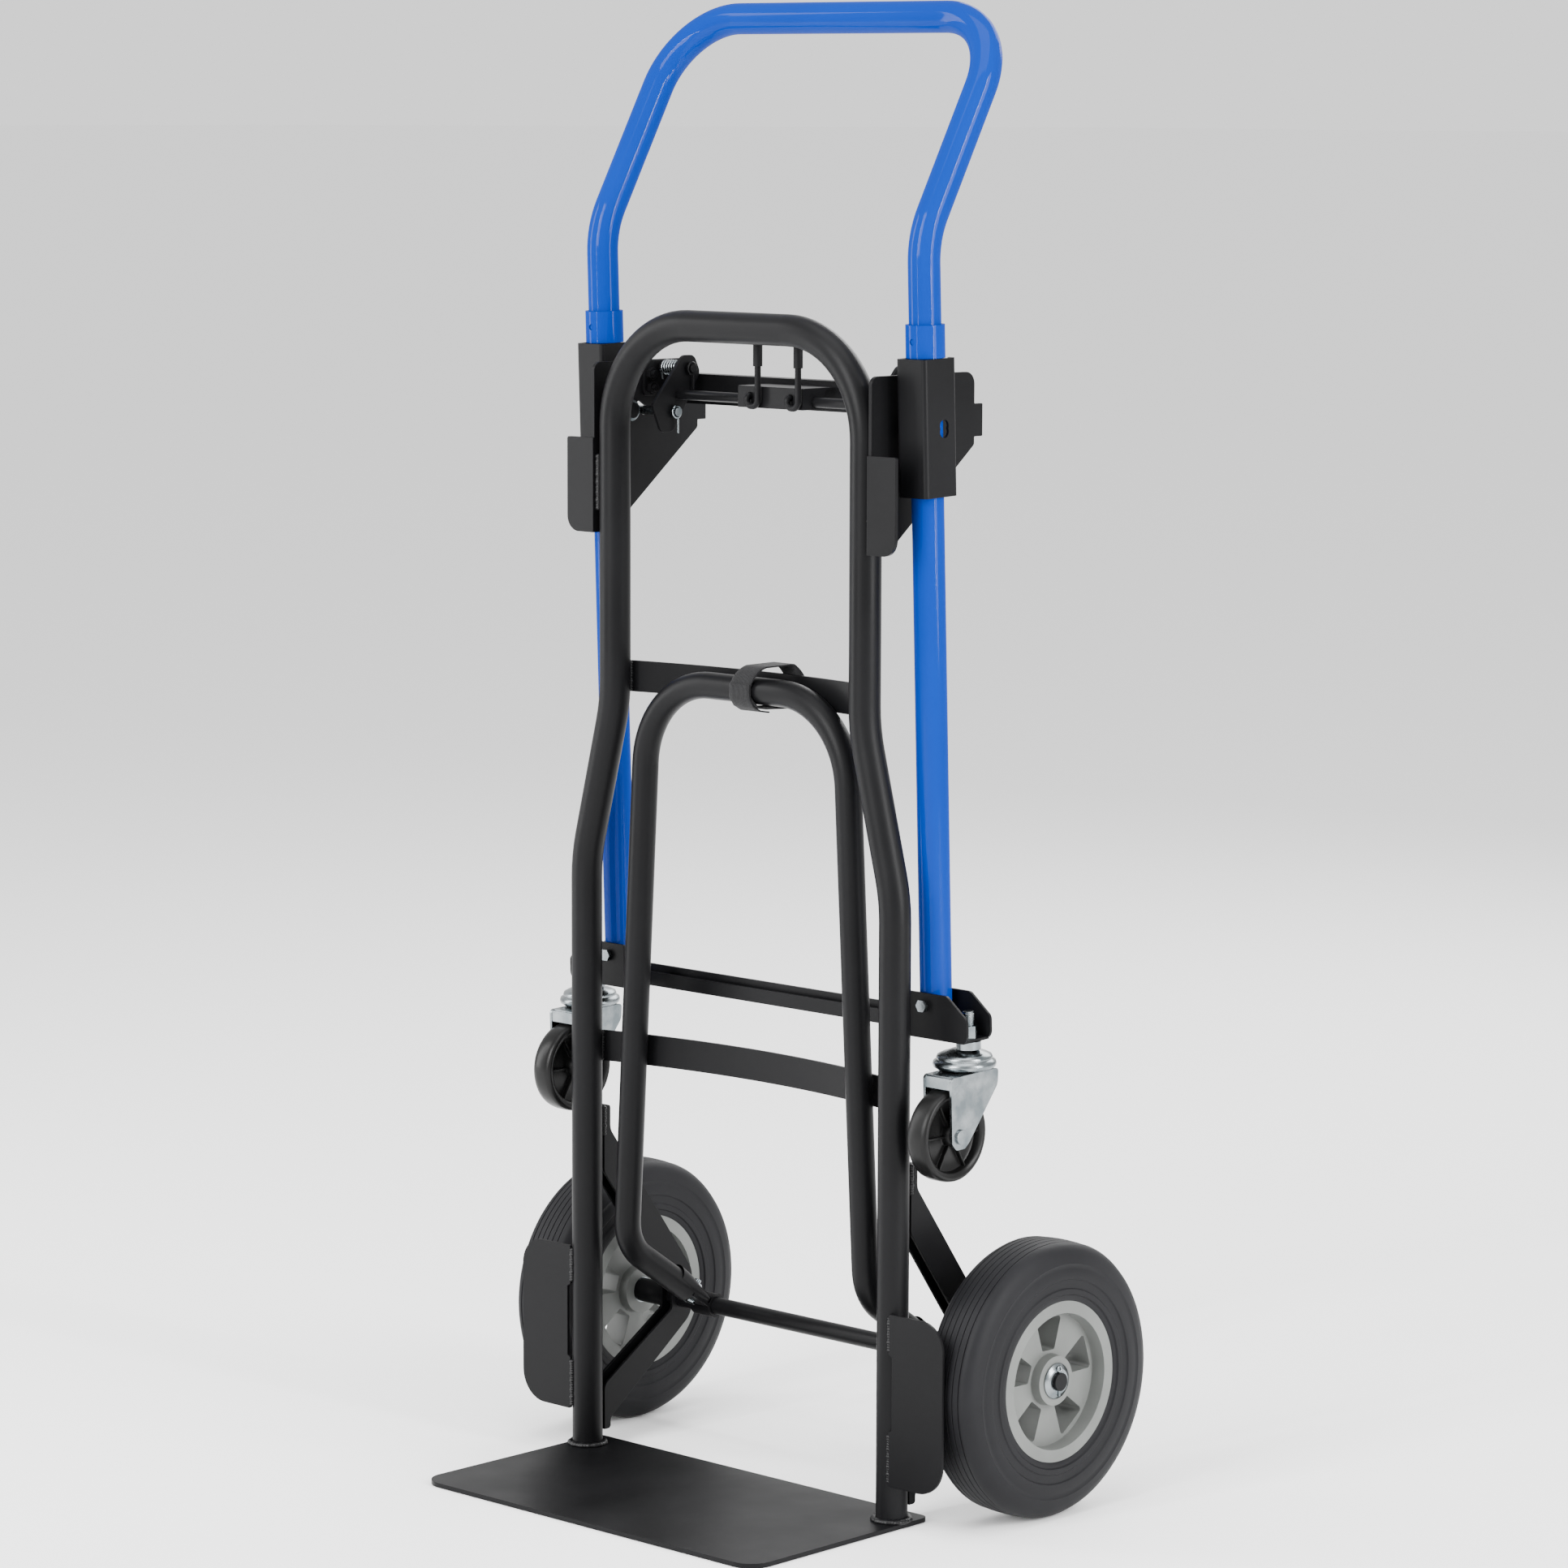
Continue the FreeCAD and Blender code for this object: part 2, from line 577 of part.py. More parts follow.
def latch_spring():
    # Outer shape of the return spring, wound around the pivot pin.
    outer = bar_x(link_out_x() + 3.0, GUSSET_IN_X - LATCH_BAR_T - 3.0, YOKE_Y, YOKE_Z, LATCH_PIN_R + 3.0)
    return outer.cut(bar_x(LINK_X, GUSSET_IN_X, YOKE_Y, YOKE_Z, LATCH_PIN_R + 0.6))


def latch_link():
    # Slanted side plate of the yoke, from its pivot forward and down to the latch pin.
    outline = [(YOKE_Y - 8.0, YOKE_Z + 12.0), (LATCH_PIN_Y - 27.0, LATCH_PIN_Z + 7.0),
               (LATCH_PIN_Y - 16.0, LATCH_PIN_Z - 18.0), (LATCH_PIN_Y - 1.0, LATCH_PIN_Z - 18.0),
               (YOKE_Y + 14.0, YOKE_Z - 4.0), (YOKE_Y + 6.0, YOKE_Z + 12.0)]
    body = plate_yz(outline, [8, 4, 7, 9, 8, 8], link_in_x(), link_out_x())
    holes = [bar_x(link_in_x() - 1, link_out_x() + 1, YOKE_Y, YOKE_Z, LATCH_PIN_R + RUNNING_GAP),
             bar_x(link_in_x() - 1, link_out_x() + 1, LATCH_PIN_Y, LATCH_PIN_Z, LATCH_PIN_R)]
    return body.cut(holes)


def release_rod():
    return bar_x(-link_in_x(), link_in_x(), ROD_Y, ROD_Z, ROD_R)


def release_cradle():
    # The folded cradle in the middle of the rod that the wire handle hooks into.
    t = LATCH_BAR_T
    front = block(-CRADLE_HALF_W, CRADLE_HALF_W, CRADLE_FRONT_Y, CRADLE_FRONT_Y + t, CRADLE_LOW_Z, CRADLE_TOP_Z)
    top = block(-CRADLE_HALF_W, CRADLE_HALF_W, CRADLE_FRONT_Y, CRADLE_BACK_Y, CRADLE_TOP_Z - t, CRADLE_TOP_Z)
    side = block(CRADLE_HALF_W - t, CRADLE_HALF_W, CRADLE_FRONT_Y, CRADLE_BACK_Y - 10.0, CRADLE_LOW_Z,
                 CRADLE_TOP_Z)
    holes = [bar_x(-CRADLE_HALF_W - 1, CRADLE_HALF_W + 1, ROD_Y, ROD_Z, ROD_R)]
    holes += [bar_y(x, CRADLE_FRONT_Y - 1, CRADLE_FRONT_Y + t + 1, bail_hook_z(), BAIL_R + TOUCH)
              for x in bail_hook_places()]
    return front.fuse([top] + both(side)).removeSplitter().cut(holes)


def bail_hook_z():
    return (CRADLE_LOW_Z + CRADLE_TOP_Z) / 2.0 + 1.0


def bail_hook_places():
    return [-BAIL_W / 2.0, BAIL_W / 2.0]


def bail_leg_places():
    # Each leg stands to the right of its hook.
    return [x + BAIL_HOOK_W for x in bail_hook_places()]


def release_bail():
    # Bent wire handle with a J hook at the foot of each leg.
    legs = bail_leg_places()
    hooks = bail_hook_places()
    in_y = CRADLE_FRONT_Y + LATCH_BAR_T + 2.0
    low_z = bail_hook_z() - 9.0
    hook = [V(hooks[0], in_y, bail_hook_z()), V(hooks[0], BAIL_Y, bail_hook_z()), V(hooks[0], BAIL_Y, low_z),
            V(legs[0], BAIL_Y, low_z)]
    far_hook = [V(p.x + BAIL_W, p.y, p.z) for p in reversed(hook)]
    top = [V(legs[0], BAIL_Y, BAIL_TOP_Z), V(legs[1], BAIL_Y, BAIL_TOP_Z)]
    radii = [0, 3.5, 5.2, 6.0, 12, 12, 6.0, 5.2, 3.5, 0]
    return sweep_round(hook + top + far_hook, radii, BAIL_R)


def bail_grip():
    # Dipped grip on the upper half of the wire handle.
    legs = bail_leg_places()
    low_z = BAIL_TOP_Z - 31.0
    points = [V(legs[0], BAIL_Y, low_z), V(legs[0], BAIL_Y, BAIL_TOP_Z), V(legs[1], BAIL_Y, BAIL_TOP_Z),
              V(legs[1], BAIL_Y, low_z)]
    return bent_tube(points, [0, 12, 12, 0], BAIL_GRIP_R, BAIL_GRIP_R - BAIL_R)


# ---- sleeves and sliding handle, built upright on the tube line ----

def slide_sleeve():
    # A folded channel around the leg tube, with rear lips, a sight hole and the pivot stub.
    front_y = HANDLE_Y - HANDLE_R - SLEEVE_FRONT_GAP - SLEEVE_T
    back_y = HANDLE_Y + HANDLE_R + SLEEVE_BACK_GAP + SLEEVE_T
    top_z = SLEEVE_LOW_Z + SLEEVE_H
    corners = [V(SLEEVE_IN_X, front_y, SLEEVE_LOW_Z), V(SLEEVE_OUT_X, front_y, SLEEVE_LOW_Z),
               V(SLEEVE_OUT_X, back_y, SLEEVE_LOW_Z), V(SLEEVE_IN_X, back_y, SLEEVE_LOW_Z)]
    body = plate(corners, [4, 4, 4, 4], V(0, 0, SLEEVE_H))
    inside = block(SLEEVE_IN_X + SLEEVE_T, SLEEVE_OUT_X - SLEEVE_T, front_y + SLEEVE_T, back_y - SLEEVE_T,
                   SLEEVE_LOW_Z - 1, top_z + 1)
    seam = block(SLEEVE_IN_X + SLEEVE_LIP, SLEEVE_OUT_X - SLEEVE_LIP, HANDLE_Y, back_y + 1,
                 SLEEVE_LOW_Z - 1, top_z + 1)
    sight_y = HANDLE_Y + SIGHT_BACK
    sight = bar_x(HANDLE_HALF_W, SLEEVE_OUT_X + 1, sight_y, PIVOT_Z - SIGHT_HALF_SLOT, SIGHT_R)
    sight = sight.fuse(bar_x(HANDLE_HALF_W, SLEEVE_OUT_X + 1, sight_y, PIVOT_Z + SIGHT_HALF_SLOT, SIGHT_R))
    stub = bar_x(GUSSET_IN_X - 7.0, SLEEVE_IN_X + 1.0, HANDLE_Y, PIVOT_Z, PIVOT_R)
    washer = bar_x(GUSSET_OUT_X + TOUCH, SLEEVE_IN_X + 1.0, HANDLE_Y, PIVOT_Z, PIVOT_R + 2.5)
    return lean(body.cut([inside, seam, sight]).fuse([stub, washer]).removeSplitter())


def pivot_clip():
    # Push-on retaining cap on the inner end of the pivot stub.
    cap = bar_x(GUSSET_IN_X - 5.0, GUSSET_IN_X - TOUCH, HANDLE_Y, PIVOT_Z, PIVOT_R + 2.5)
    return lean(cap.cut(bar_x(GUSSET_IN_X - 9, GUSSET_IN_X, HANDLE_Y, PIVOT_Z, PIVOT_R)))


def upright_point(y, z):
    # Where a point of the leaning frame lies before it is tilted.
    turn = math.radians(-LEAN_DEG)
    dy = y - HANDLE_Y
    dz = z - LEAN_Z
    return (HANDLE_Y + dy * math.cos(turn) - dz * math.sin(turn),
            LEAN_Z + dy * math.sin(turn) + dz * math.cos(turn))


def joint_z():
    # The height where the handle loop meets the leg tubes, inside the collars.
    return SLEEVE_LOW_Z + SLEEVE_H + 0.6 * COLLAR_H


def handle_loop():
    top_y, top_z = upright_point(GRIP_TOP_Y, GRIP_TOP_Z)
    half = [V(HANDLE_HALF_W, HANDLE_Y, joint_z()), V(HANDLE_HALF_W, HANDLE_Y, GRIP_BEND_Z),
            V(HANDLE_HALF_W, top_y, top_z)]
    points = half + [V(-p.x, p.y, p.z) for p in reversed(half)]
    bends = [0, GRIP_BEND_R, GRIP_CORNER_R]
    return lean(bent_tube(points, bends + bends[::-1], HANDLE_R, HANDLE_WALL))


def leg_tube():
    low_z = CASTER_BOX_LOW_Z + CASTER_BOX_T
    tube = bar_z(HANDLE_HALF_W, HANDLE_Y, low_z, joint_z(), HANDLE_R)
    bore = bar_z(HANDLE_HALF_W, HANDLE_Y, low_z - 1, joint_z() + 1, HANDLE_R - HANDLE_WALL)
    return lean(tube.cut(bore).cut(crossmember_bolt_shank()))


def collar():
    # The collar that joins the tubes and stops the slide on top of the sleeve.
    low_z = SLEEVE_LOW_Z + SLEEVE_H + TOUCH
    ring = bar_z(HANDLE_HALF_W, HANDLE_Y, low_z, low_z + COLLAR_H, COLLAR_R)
    bore = bar_z(HANDLE_HALF_W, HANDLE_Y, low_z - 1, low_z + COLLAR_H + 1, HANDLE_R)
    pocket = bar_y(HANDLE_HALF_W, HANDLE_Y - COLLAR_R - 1, HANDLE_Y, low_z + COLLAR_H / 2.0, 2.6)
    return lean(ring.cut([bore, pocket]))


def collar_rivet():
    z = SLEEVE_LOW_Z + SLEEVE_H + TOUCH + COLLAR_H / 2.0
    shank = bar_y(HANDLE_HALF_W, HANDLE_Y - COLLAR_R + 1.0, HANDLE_Y - HANDLE_R, z, 2.6)
    return lean(shank.cut(bar_z(HANDLE_HALF_W, HANDLE_Y, z - 9, z + 9, HANDLE_R)))


def caster_crossmember():
    # Open-topped channel with a taller box at each end that holds a leg tube and a caster.
    t = CASTER_BOX_T
    low_z = CASTER_BOX_LOW_Z
    front_y = HANDLE_Y - CASTER_BOX_HALF_D
    back_y = HANDLE_Y + CASTER_BOX_HALF_D
    channel_y = HANDLE_Y + CHANNEL_FRONT
    body = block(-CASTER_BOX_IN_X, CASTER_BOX_IN_X, channel_y, back_y, low_z, low_z + t)
    body = body.fuse([block(-CASTER_BOX_IN_X, CASTER_BOX_IN_X, channel_y, channel_y + t, low_z,
                            low_z + CHANNEL_FRONT_H),
                      block(-CASTER_BOX_IN_X, CASTER_BOX_IN_X, back_y - t, back_y, low_z,
                            low_z + CHANNEL_BACK_H)])
    body = body.fuse([wall for end in caster_box_walls(front_y, back_y) for wall in both(end)])
    holes = both(bar_z(STEM_X, HANDLE_Y, low_z - 1, low_z + t + 1, STEM_R))
    holes += both(crossmember_bolt_shank())
    return lean(body.removeSplitter().cut(holes))


def caster_box_walls(front_y, back_y):
    # Floor, front wall and back wall of the right-hand end box.
    t = CASTER_BOX_T
    low_z = CASTER_BOX_LOW_Z
    top_z = low_z + CASTER_BOX_H
    outline = [(CASTER_BOX_IN_X, low_z), (CASTER_BOX_OUT_X, low_z), (CASTER_BOX_OUT_X, top_z - 19.0),
               (CASTER_BOX_OUT_X - 23.0, top_z), (CASTER_BOX_IN_X, top_z)]
    radii = [0, 8, 7, 7, 2]
    floor = block(CASTER_BOX_IN_X, CASTER_BOX_OUT_X - 4.0, front_y, back_y, low_z, low_z + t)
    front = plate_xz(outline, radii, front_y, front_y + t)
    back = plate_xz(outline, radii, back_y - t, back_y)
    return [floor, front, back]


def crossmember_bolt_shank():
    reach = CASTER_BOX_HALF_D + 1.0
    return bar_y(HANDLE_HALF_W, HANDLE_Y - reach, HANDLE_Y + reach, CROSS_BOLT_Z, BOLT_R)


def crossmember_bolt():
    start = V(HANDLE_HALF_W, HANDLE_Y - CASTER_BOX_HALF_D, CROSS_BOLT_Z)
    return lean(through_bolt(start, V(0, 1, 0), 2.0 * CASTER_BOX_HALF_D))


# ---- casters ----

def caster_stem():
    # Threaded stem with its nut above the floor of the box and a base flange below it.
    low_z = CASTER_BOX_LOW_Z
    floor_top = low_z + CASTER_BOX_T
    stem = bar_z(STEM_X, HANDLE_Y, FORK_TOP_Z + 4.0, low_z + 26.0, STEM_R)
    nut = hex_prism(V(STEM_X, HANDLE_Y, floor_top), V(0, 0, 1), 8.2, 11.0)
    flange = bar_z(STEM_X, HANDLE_Y, FORK_TOP_Z + RACEWAY_H, low_z, 11.0)
    return lean(stem.fuse([nut, flange]).removeSplitter())


def caster_raceway():
    # Pressed ball-race housing on top of the fork, turning under the stem's flange.
    low_z = FORK_TOP_Z + TOUCH
    top_z = FORK_TOP_Z + RACEWAY_H - TOUCH
    outline = [(STEM_R + RUNNING_GAP, low_z), (RACEWAY_R - 3.0, low_z), (RACEWAY_R - 3.0, low_z + 4.0),
               (RACEWAY_R, low_z + 8.0), (RACEWAY_R - 2.0, low_z + 12.0), (RACEWAY_R - 9.0, top_z),
               (STEM_R + RUNNING_GAP, top_z)]
    points = [V(STEM_X + r, HANDLE_Y, z) for r, z in outline + outline[:1]]
    return lean(Part.Face(Part.makePolygon(points)).revolve(V(STEM_X, HANDLE_Y, 0), V(0, 0, 1), 360))


def caster_wheel_y():
    return HANDLE_Y - CASTER_TRAIL


def caster_fork():
    # Stamped fork: a top plate, a short front lip and two tapered legs down to the wheel pin.
    pin_y = caster_wheel_y()
    half = CASTER_WHEEL_W / 2.0 + FORK_CLEAR
    front_y = pin_y - FORK_EYE_R
    back_y = HANDLE_Y + 20.0
    low_z = CASTER_WHEEL_Z - FORK_EYE_R
    under_z = FORK_TOP_Z - FORK_T
    leg_outline = [(front_y, FORK_TOP_Z), (back_y, FORK_TOP_Z), (back_y - 1.0, FORK_TOP_Z - 14.0),
                   (HANDLE_Y - 2.0, CASTER_WHEEL_Z + 14.0), (pin_y + FORK_EYE_R, low_z + 5.0),
                   (pin_y + 5.0, low_z), (front_y + 5.0, low_z), (front_y, low_z + 6.0)]
    leg = plate_yz(leg_outline, [4, 3, 12, 18, 5, 3, 4, 4], STEM_X + half, STEM_X + half + FORK_T)
    other = leg.mirror(V(STEM_X, 0, 0), V(1, 0, 0))
    top = block(STEM_X - half, STEM_X + half, front_y + 3.0, back_y - 3.0, under_z, FORK_TOP_Z)
    lip = block(STEM_X - half, STEM_X + half, front_y + 0.5, front_y + 3.0, FORK_TOP_Z - 11.0, FORK_TOP_Z - 1.0)
    body = top.fuse([leg, other, lip]).removeSplitter()
    holes = [bar_z(STEM_X, HANDLE_Y, under_z - 1, FORK_TOP_Z + 1, STEM_R + 1.0),
             bar_x(STEM_X - half - 9, STEM_X + half + 9, pin_y, CASTER_WHEEL_Z, CASTER_PIN_R)]
    return lean(body.cut(holes))


def caster_pin():
    # Riveted wheel pin with a domed head on each side of the fork.
    half = CASTER_WHEEL_W / 2.0 + FORK_CLEAR + FORK_T
    y = caster_wheel_y()
    shank = bar_x(STEM_X - half, STEM_X + half, y, CASTER_WHEEL_Z, CASTER_PIN_R)
    head = bar_x(STEM_X + half, STEM_X + half + 2.2, y, CASTER_WHEEL_Z, CASTER_PIN_R + 2.6)
    return lean(shank.fuse([head, head.mirror(V(STEM_X, 0, 0), V(1, 0, 0))]))


def caster_wheel():
    # Moulded wheel with a rounded tread, a hollow web on both sides and a hub.
    half = CASTER_WHEEL_W / 2.0
    y = caster_wheel_y()
    rim_in = CASTER_WHEEL_R - 7.0
    bore = CASTER_PIN_R + RUNNING_GAP
    outline = [(-half, bore), (-half, 9.0), (-3.0, 10.0), (-3.0, rim_in), (-half + 1.5, rim_in + 1.5),
               (-half, CASTER_WHEEL_R - 4.0), (-half + 4.0, CASTER_WHEEL_R), (half - 4.0, CASTER_WHEEL_R),
               (half, CASTER_WHEEL_R - 4.0), (half - 1.5, rim_in + 1.5), (3.0, rim_in), (3.0, 10.0),
               (half, 9.0), (half, bore)]
    points = [V(STEM_X + x, y, CASTER_WHEEL_Z + r) for x, r in outline + outline[:1]]
    face = Part.Face(Part.makePolygon(points))
    return lean(face.revolve(V(STEM_X, y, CASTER_WHEEL_Z), V(1, 0, 0), 360))


# ---- folding nose extension ----

def nose_foot_direction():
    # Unit vector in the YZ plane from the axle to the bend at the foot of the extension.
    dy = NOSE_Y - AXLE_Y
    dz = NOSE_LOW_Z - TYRE_R
    reach = math.hypot(dy, dz)
    return dy / reach, dz / reach


def nose_frame():
    # U-shaped tube whose two feet bend back to the axle and end in flat tongues.
    dy, dz = nose_foot_direction()
    tube_end = V(NOSE_LOW_HALF_W, AXLE_Y + dy * CLIP_REACH, TYRE_R + dz * CLIP_REACH)
    half = [tube_end, V(NOSE_LOW_HALF_W, NOSE_Y, NOSE_LOW_Z), V(NOSE_TOP_HALF_W, NOSE_Y, NOSE_TOP_Z)]
    points = half + [V(-p.x, p.y, p.z) for p in reversed(half)]
    bends = [0, NOSE_FOOT_R, NOSE_CORNER_R]
    tube = bent_tube(points, bends + bends[::-1], NOSE_R, NOSE_WALL)
    plug = sweep_round([tube_end, tube_end + V(0, dy, dz) * 6.0], [0, 0], NOSE_R)
    tongue = block(NOSE_LOW_HALF_W - CLIP_W / 2.0, NOSE_LOW_HALF_W + CLIP_W / 2.0, AXLE_R + CLIP_T + 1.5,
                   CLIP_REACH + 2.0, -NOSE_TONGUE_T / 2.0, NOSE_TONGUE_T / 2.0)
    tongue = tongue.cut(clip_bolt_shank(0))
    ends = both(plug) + both(on_nose_foot(tongue))
    return tube.fuse(ends).removeSplitter()


def on_nose_foot(shape):
    # Carries what is built along +Y from the axle line to the foot's own direction.
    dy, dz = nose_foot_direction()
    placed = shape.copy()
    placed.rotate(V(0, 0, 0), V(1, 0, 0), math.degrees(math.atan2(dz, dy)))
    placed.translate(V(0, AXLE_Y, TYRE_R))
    return placed


def clip_bolt_shank(gap):
    return bar_z(NOSE_LOW_HALF_W, CLIP_REACH - 10.0, -30, 30, BOLT_R + gap)


def nose_clip():
    # Saddle that turns on the axle; its two ears clamp the flat tongue of the foot.
    half_w = CLIP_W / 2.0
    outer_r = AXLE_R + CLIP_T
    x_low = NOSE_LOW_HALF_W - half_w
    x_high = NOSE_LOW_HALF_W + half_w
    inner = NOSE_TONGUE_T / 2.0 + RUNNING_GAP
    ring = bar_x(x_low, x_high, 0, 0, outer_r)
    ears = [block(x_low, x_high, 0, CLIP_REACH - 1.0, inner, inner + CLIP_T),
            block(x_low, x_high, 0, CLIP_REACH - 1.0, -inner - CLIP_T, -inner)]
    gap = block(x_low, x_high, outer_r - 1.0, CLIP_REACH, -inner, inner)
    bore = bar_x(x_low - 1, x_high + 1, 0, 0, AXLE_R + RUNNING_GAP)
    body = ring.fuse(ears).removeSplitter()
    return on_nose_foot(body.cut([gap, bore, clip_bolt_shank(0)]))


def clip_bolt():
    inner = NOSE_TONGUE_T / 2.0 + RUNNING_GAP + CLIP_T
    start = V(NOSE_LOW_HALF_W, CLIP_REACH - 10.0, inner)
    return on_nose_foot(through_bolt(start, V(0, 0, -1), 2.0 * inner))


def upper_bar_back_y():
    end_x = RAIL_HALF_HIGH - BAR_END_INSET
    return BAR_END_Y - math.sqrt(BAR_UPPER_BOW_R ** 2 - end_x ** 2) + BAR_UPPER_BOW_R + BAR_T


def nose_strap():
    # Hook-and-loop band, closed around the extension's top tube and the upper crossbar.
    x_low = STRAP_X - STRAP_W / 2.0
    gap = TOUCH + 0.2
    front_y = NOSE_Y - NOSE_R - gap
    back_y = upper_bar_back_y() + gap
    low_z = min(NOSE_TOP_Z - NOSE_R, BAR_UPPER_TOP_Z - BAR_H) - gap
    top_z = max(NOSE_TOP_Z + NOSE_R, BAR_UPPER_TOP_Z) + gap
    inner = [(front_y, low_z), (back_y, low_z), (back_y, top_z), (front_y, top_z)]
    outer = [(front_y - STRAP_T, low_z - STRAP_T), (back_y + STRAP_T, low_z - STRAP_T),
             (back_y + STRAP_T, top_z + STRAP_T), (front_y - STRAP_T, top_z + STRAP_T)]
    band = plate_yz(outer, [NOSE_R, 2.5, 2.5, NOSE_R], x_low, x_low + STRAP_W)
    return band.cut(plate_yz(inner, [NOSE_R - STRAP_T, 0.8, 0.8, NOSE_R - STRAP_T], x_low - 1,
                             x_low + STRAP_W + 1))


def build_main_frame():
    save("main_frame_tube", main_frame_tube())
    save("toe_plate", toe_plate())
    save("upper_crossbar", crossbar(RAIL_HALF_HIGH, BAR_UPPER_TOP_Z, BAR_UPPER_BOW_R))
    save("lower_crossbar", crossbar(RAIL_HALF_LOW, BAR_LOWER_TOP_Z, BAR_LOWER_BOW_R))
    save("axle", axle())
    save_pair("axle_bracket", axle_bracket())
    save_pair("wheel_guard", wheel_guard())
    save_pair("gusset", gusset())
    save("latch_crossmember", latch_crossmember())
    save_group("flange_bolts", flange_bolts())
    save_group("latch_pivot_pins", both(latch_pivot_pin()))
    save_group("axle_spacers", both(axle_spacer()))
    save_group("axle_washers", both(axle_washer()))
    save_group("axle_cotter_pins", both(axle_cotter()))


def build_wheels():
    save_pair("tyre", tyre())
    save_pair("rim", rim())
    save_pair("hub_bush", hub_bush())


def build_latch():
    pivot_x = link_in_x() - 3.5
    save_pair("latch_link", latch_link())
    save("release_rod", release_rod())
    save("release_cradle", release_cradle())
    save("release_bail", release_bail())
    save("bail_grip", bail_grip())
    save_group("latch_pins", both(latch_pin()))
    save_group("latch_pin_hairpins", both(hairpin(pivot_x, LATCH_PIN_Y, LATCH_PIN_Z, LATCH_PIN_R + 1.2)))
    save_group("pivot_pin_hairpins", both(hairpin(pivot_x, YOKE_Y, YOKE_Z, LATCH_PIN_R + 1.2)))
    save_group("latch_springs", both(latch_spring()))


def build_handle():
    save_pair("slide_sleeve", slide_sleeve())
    save_group("sleeve_pivot_caps", both(pivot_clip()))
    save("handle_loop", handle_loop())
    save_pair("leg_tube", leg_tube())
    save_pair("collar", collar())
    save_group("collar_rivets", both(collar_rivet()))
    save("caster_crossmember", caster_crossmember())
    save_group("crossmember_bolts", both(crossmember_bolt()))


def build_casters():
    save_pair("caster_stem", caster_stem())
    save_pair("caster_raceway", caster_raceway())
    save_pair("caster_fork", caster_fork())
    save_pair("caster_pin", caster_pin())
    save_pair("caster_wheel", caster_wheel())


def build_nose():
    save("nose_frame", nose_frame())
    save_pair("nose_clip", nose_clip())
    save_group("clip_bolts", both(clip_bolt()))
    save("nose_strap", nose_strap())


os.makedirs("parts", exist_ok=True)
build_main_frame()
build_wheels()
build_latch()
build_handle()
build_casters()
build_nose()
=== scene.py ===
import json
import math

import bpy
from mathutils import Matrix, Vector


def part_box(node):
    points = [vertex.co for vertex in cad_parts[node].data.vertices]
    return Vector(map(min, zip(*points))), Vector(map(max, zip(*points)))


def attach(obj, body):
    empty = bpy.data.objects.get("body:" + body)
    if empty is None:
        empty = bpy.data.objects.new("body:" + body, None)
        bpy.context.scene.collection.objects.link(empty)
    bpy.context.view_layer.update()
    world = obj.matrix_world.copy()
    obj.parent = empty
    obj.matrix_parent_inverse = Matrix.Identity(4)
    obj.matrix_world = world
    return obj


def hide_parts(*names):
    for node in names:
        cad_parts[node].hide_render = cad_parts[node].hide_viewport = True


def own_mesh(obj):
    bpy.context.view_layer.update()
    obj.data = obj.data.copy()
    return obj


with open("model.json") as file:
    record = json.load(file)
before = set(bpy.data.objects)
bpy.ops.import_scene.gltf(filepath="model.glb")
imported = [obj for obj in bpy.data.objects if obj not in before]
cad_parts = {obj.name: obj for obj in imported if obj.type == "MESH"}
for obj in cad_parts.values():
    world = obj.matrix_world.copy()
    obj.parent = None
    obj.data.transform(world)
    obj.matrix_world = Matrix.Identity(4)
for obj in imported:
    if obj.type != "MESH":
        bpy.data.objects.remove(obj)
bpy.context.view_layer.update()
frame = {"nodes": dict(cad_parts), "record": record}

bl_info = {
    "name": "Convertible hand truck",
    "version": (1, 0, 0),
    "blender": (4, 5, 0),
    "location": "3D View > Sidebar > Hand Truck",
    "description": "Builds the finished pieces, finishes and studio of a convertible hand truck",
    "category": "Add Mesh",
}

MM = 0.001
SIDES = (("left", -1.0), ("right", 1.0))
TURN = 2.0 * math.pi

# Places of the frame and the nose extension across the truck, from its middle
RAIL_X = 190.0 * MM
NOSE_FOOT_X = 149.0 * MM

# Weld beads
WELD_PITCH = 2.2 * MM
FOOT_RING_R = 15.2 * MM
FOOT_RING_DROPS = 34

# Pressed ends of the nose extension: draw length, widening and pressing at each station
TUBE_R = 12.1 * MM
PRESS_START = 12.0 * MM
PRESS_STATIONS = ((10.0, 1.03, 0.86), (9.0, 1.07, 0.76), (8.0, 1.05, 0.68), (7.0, 1.03, 0.64))
PRESS_REACH = 56.0 * MM

# Strap: bends at the front and the back, and steps in each bend
STRAP_FRONT_BEND = 11.0 * MM
STRAP_BACK_BEND = 4.0 * MM
STRAP_BEND_STEPS = 6

# Studio and camera
FLOOR_SIZE = 300.0
WORLD_STRENGTH = 1.3
LIGHTS_AIM = Vector((0, 0, 0.6))
CAMERA_PLACE = (3.22855, -3.35892, 1.24046)
CAMERA_TURN_DEG = 43.55
CAMERA_DROP_DEG = 7.426
CAMERA_ROLL_DEG = 0.192
CAMERA_LENS_MM = 121.65
CAMERA_SENSOR_MM = 36.0


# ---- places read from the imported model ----

def centre(node):
    low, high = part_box(node)
    return (Vector(low) + Vector(high)) / 2.0


def side_box(node, sign):
    """The box of one side's solid in a node that holds a left and a right one."""
    corners = [v.co for v in frame["nodes"][node].data.vertices if v.co.x * sign > 0]
    low = Vector([min(c[k] for c in corners) for k in range(3)])
    high = Vector([max(c[k] for c in corners) for k in range(3)])
    return low, high


def joint_named(name):
    for joint in frame["record"]["behaviour"]["joints"]:
        if joint["name"] == name:
            return joint
    raise RuntimeError("there is no joint named " + name)


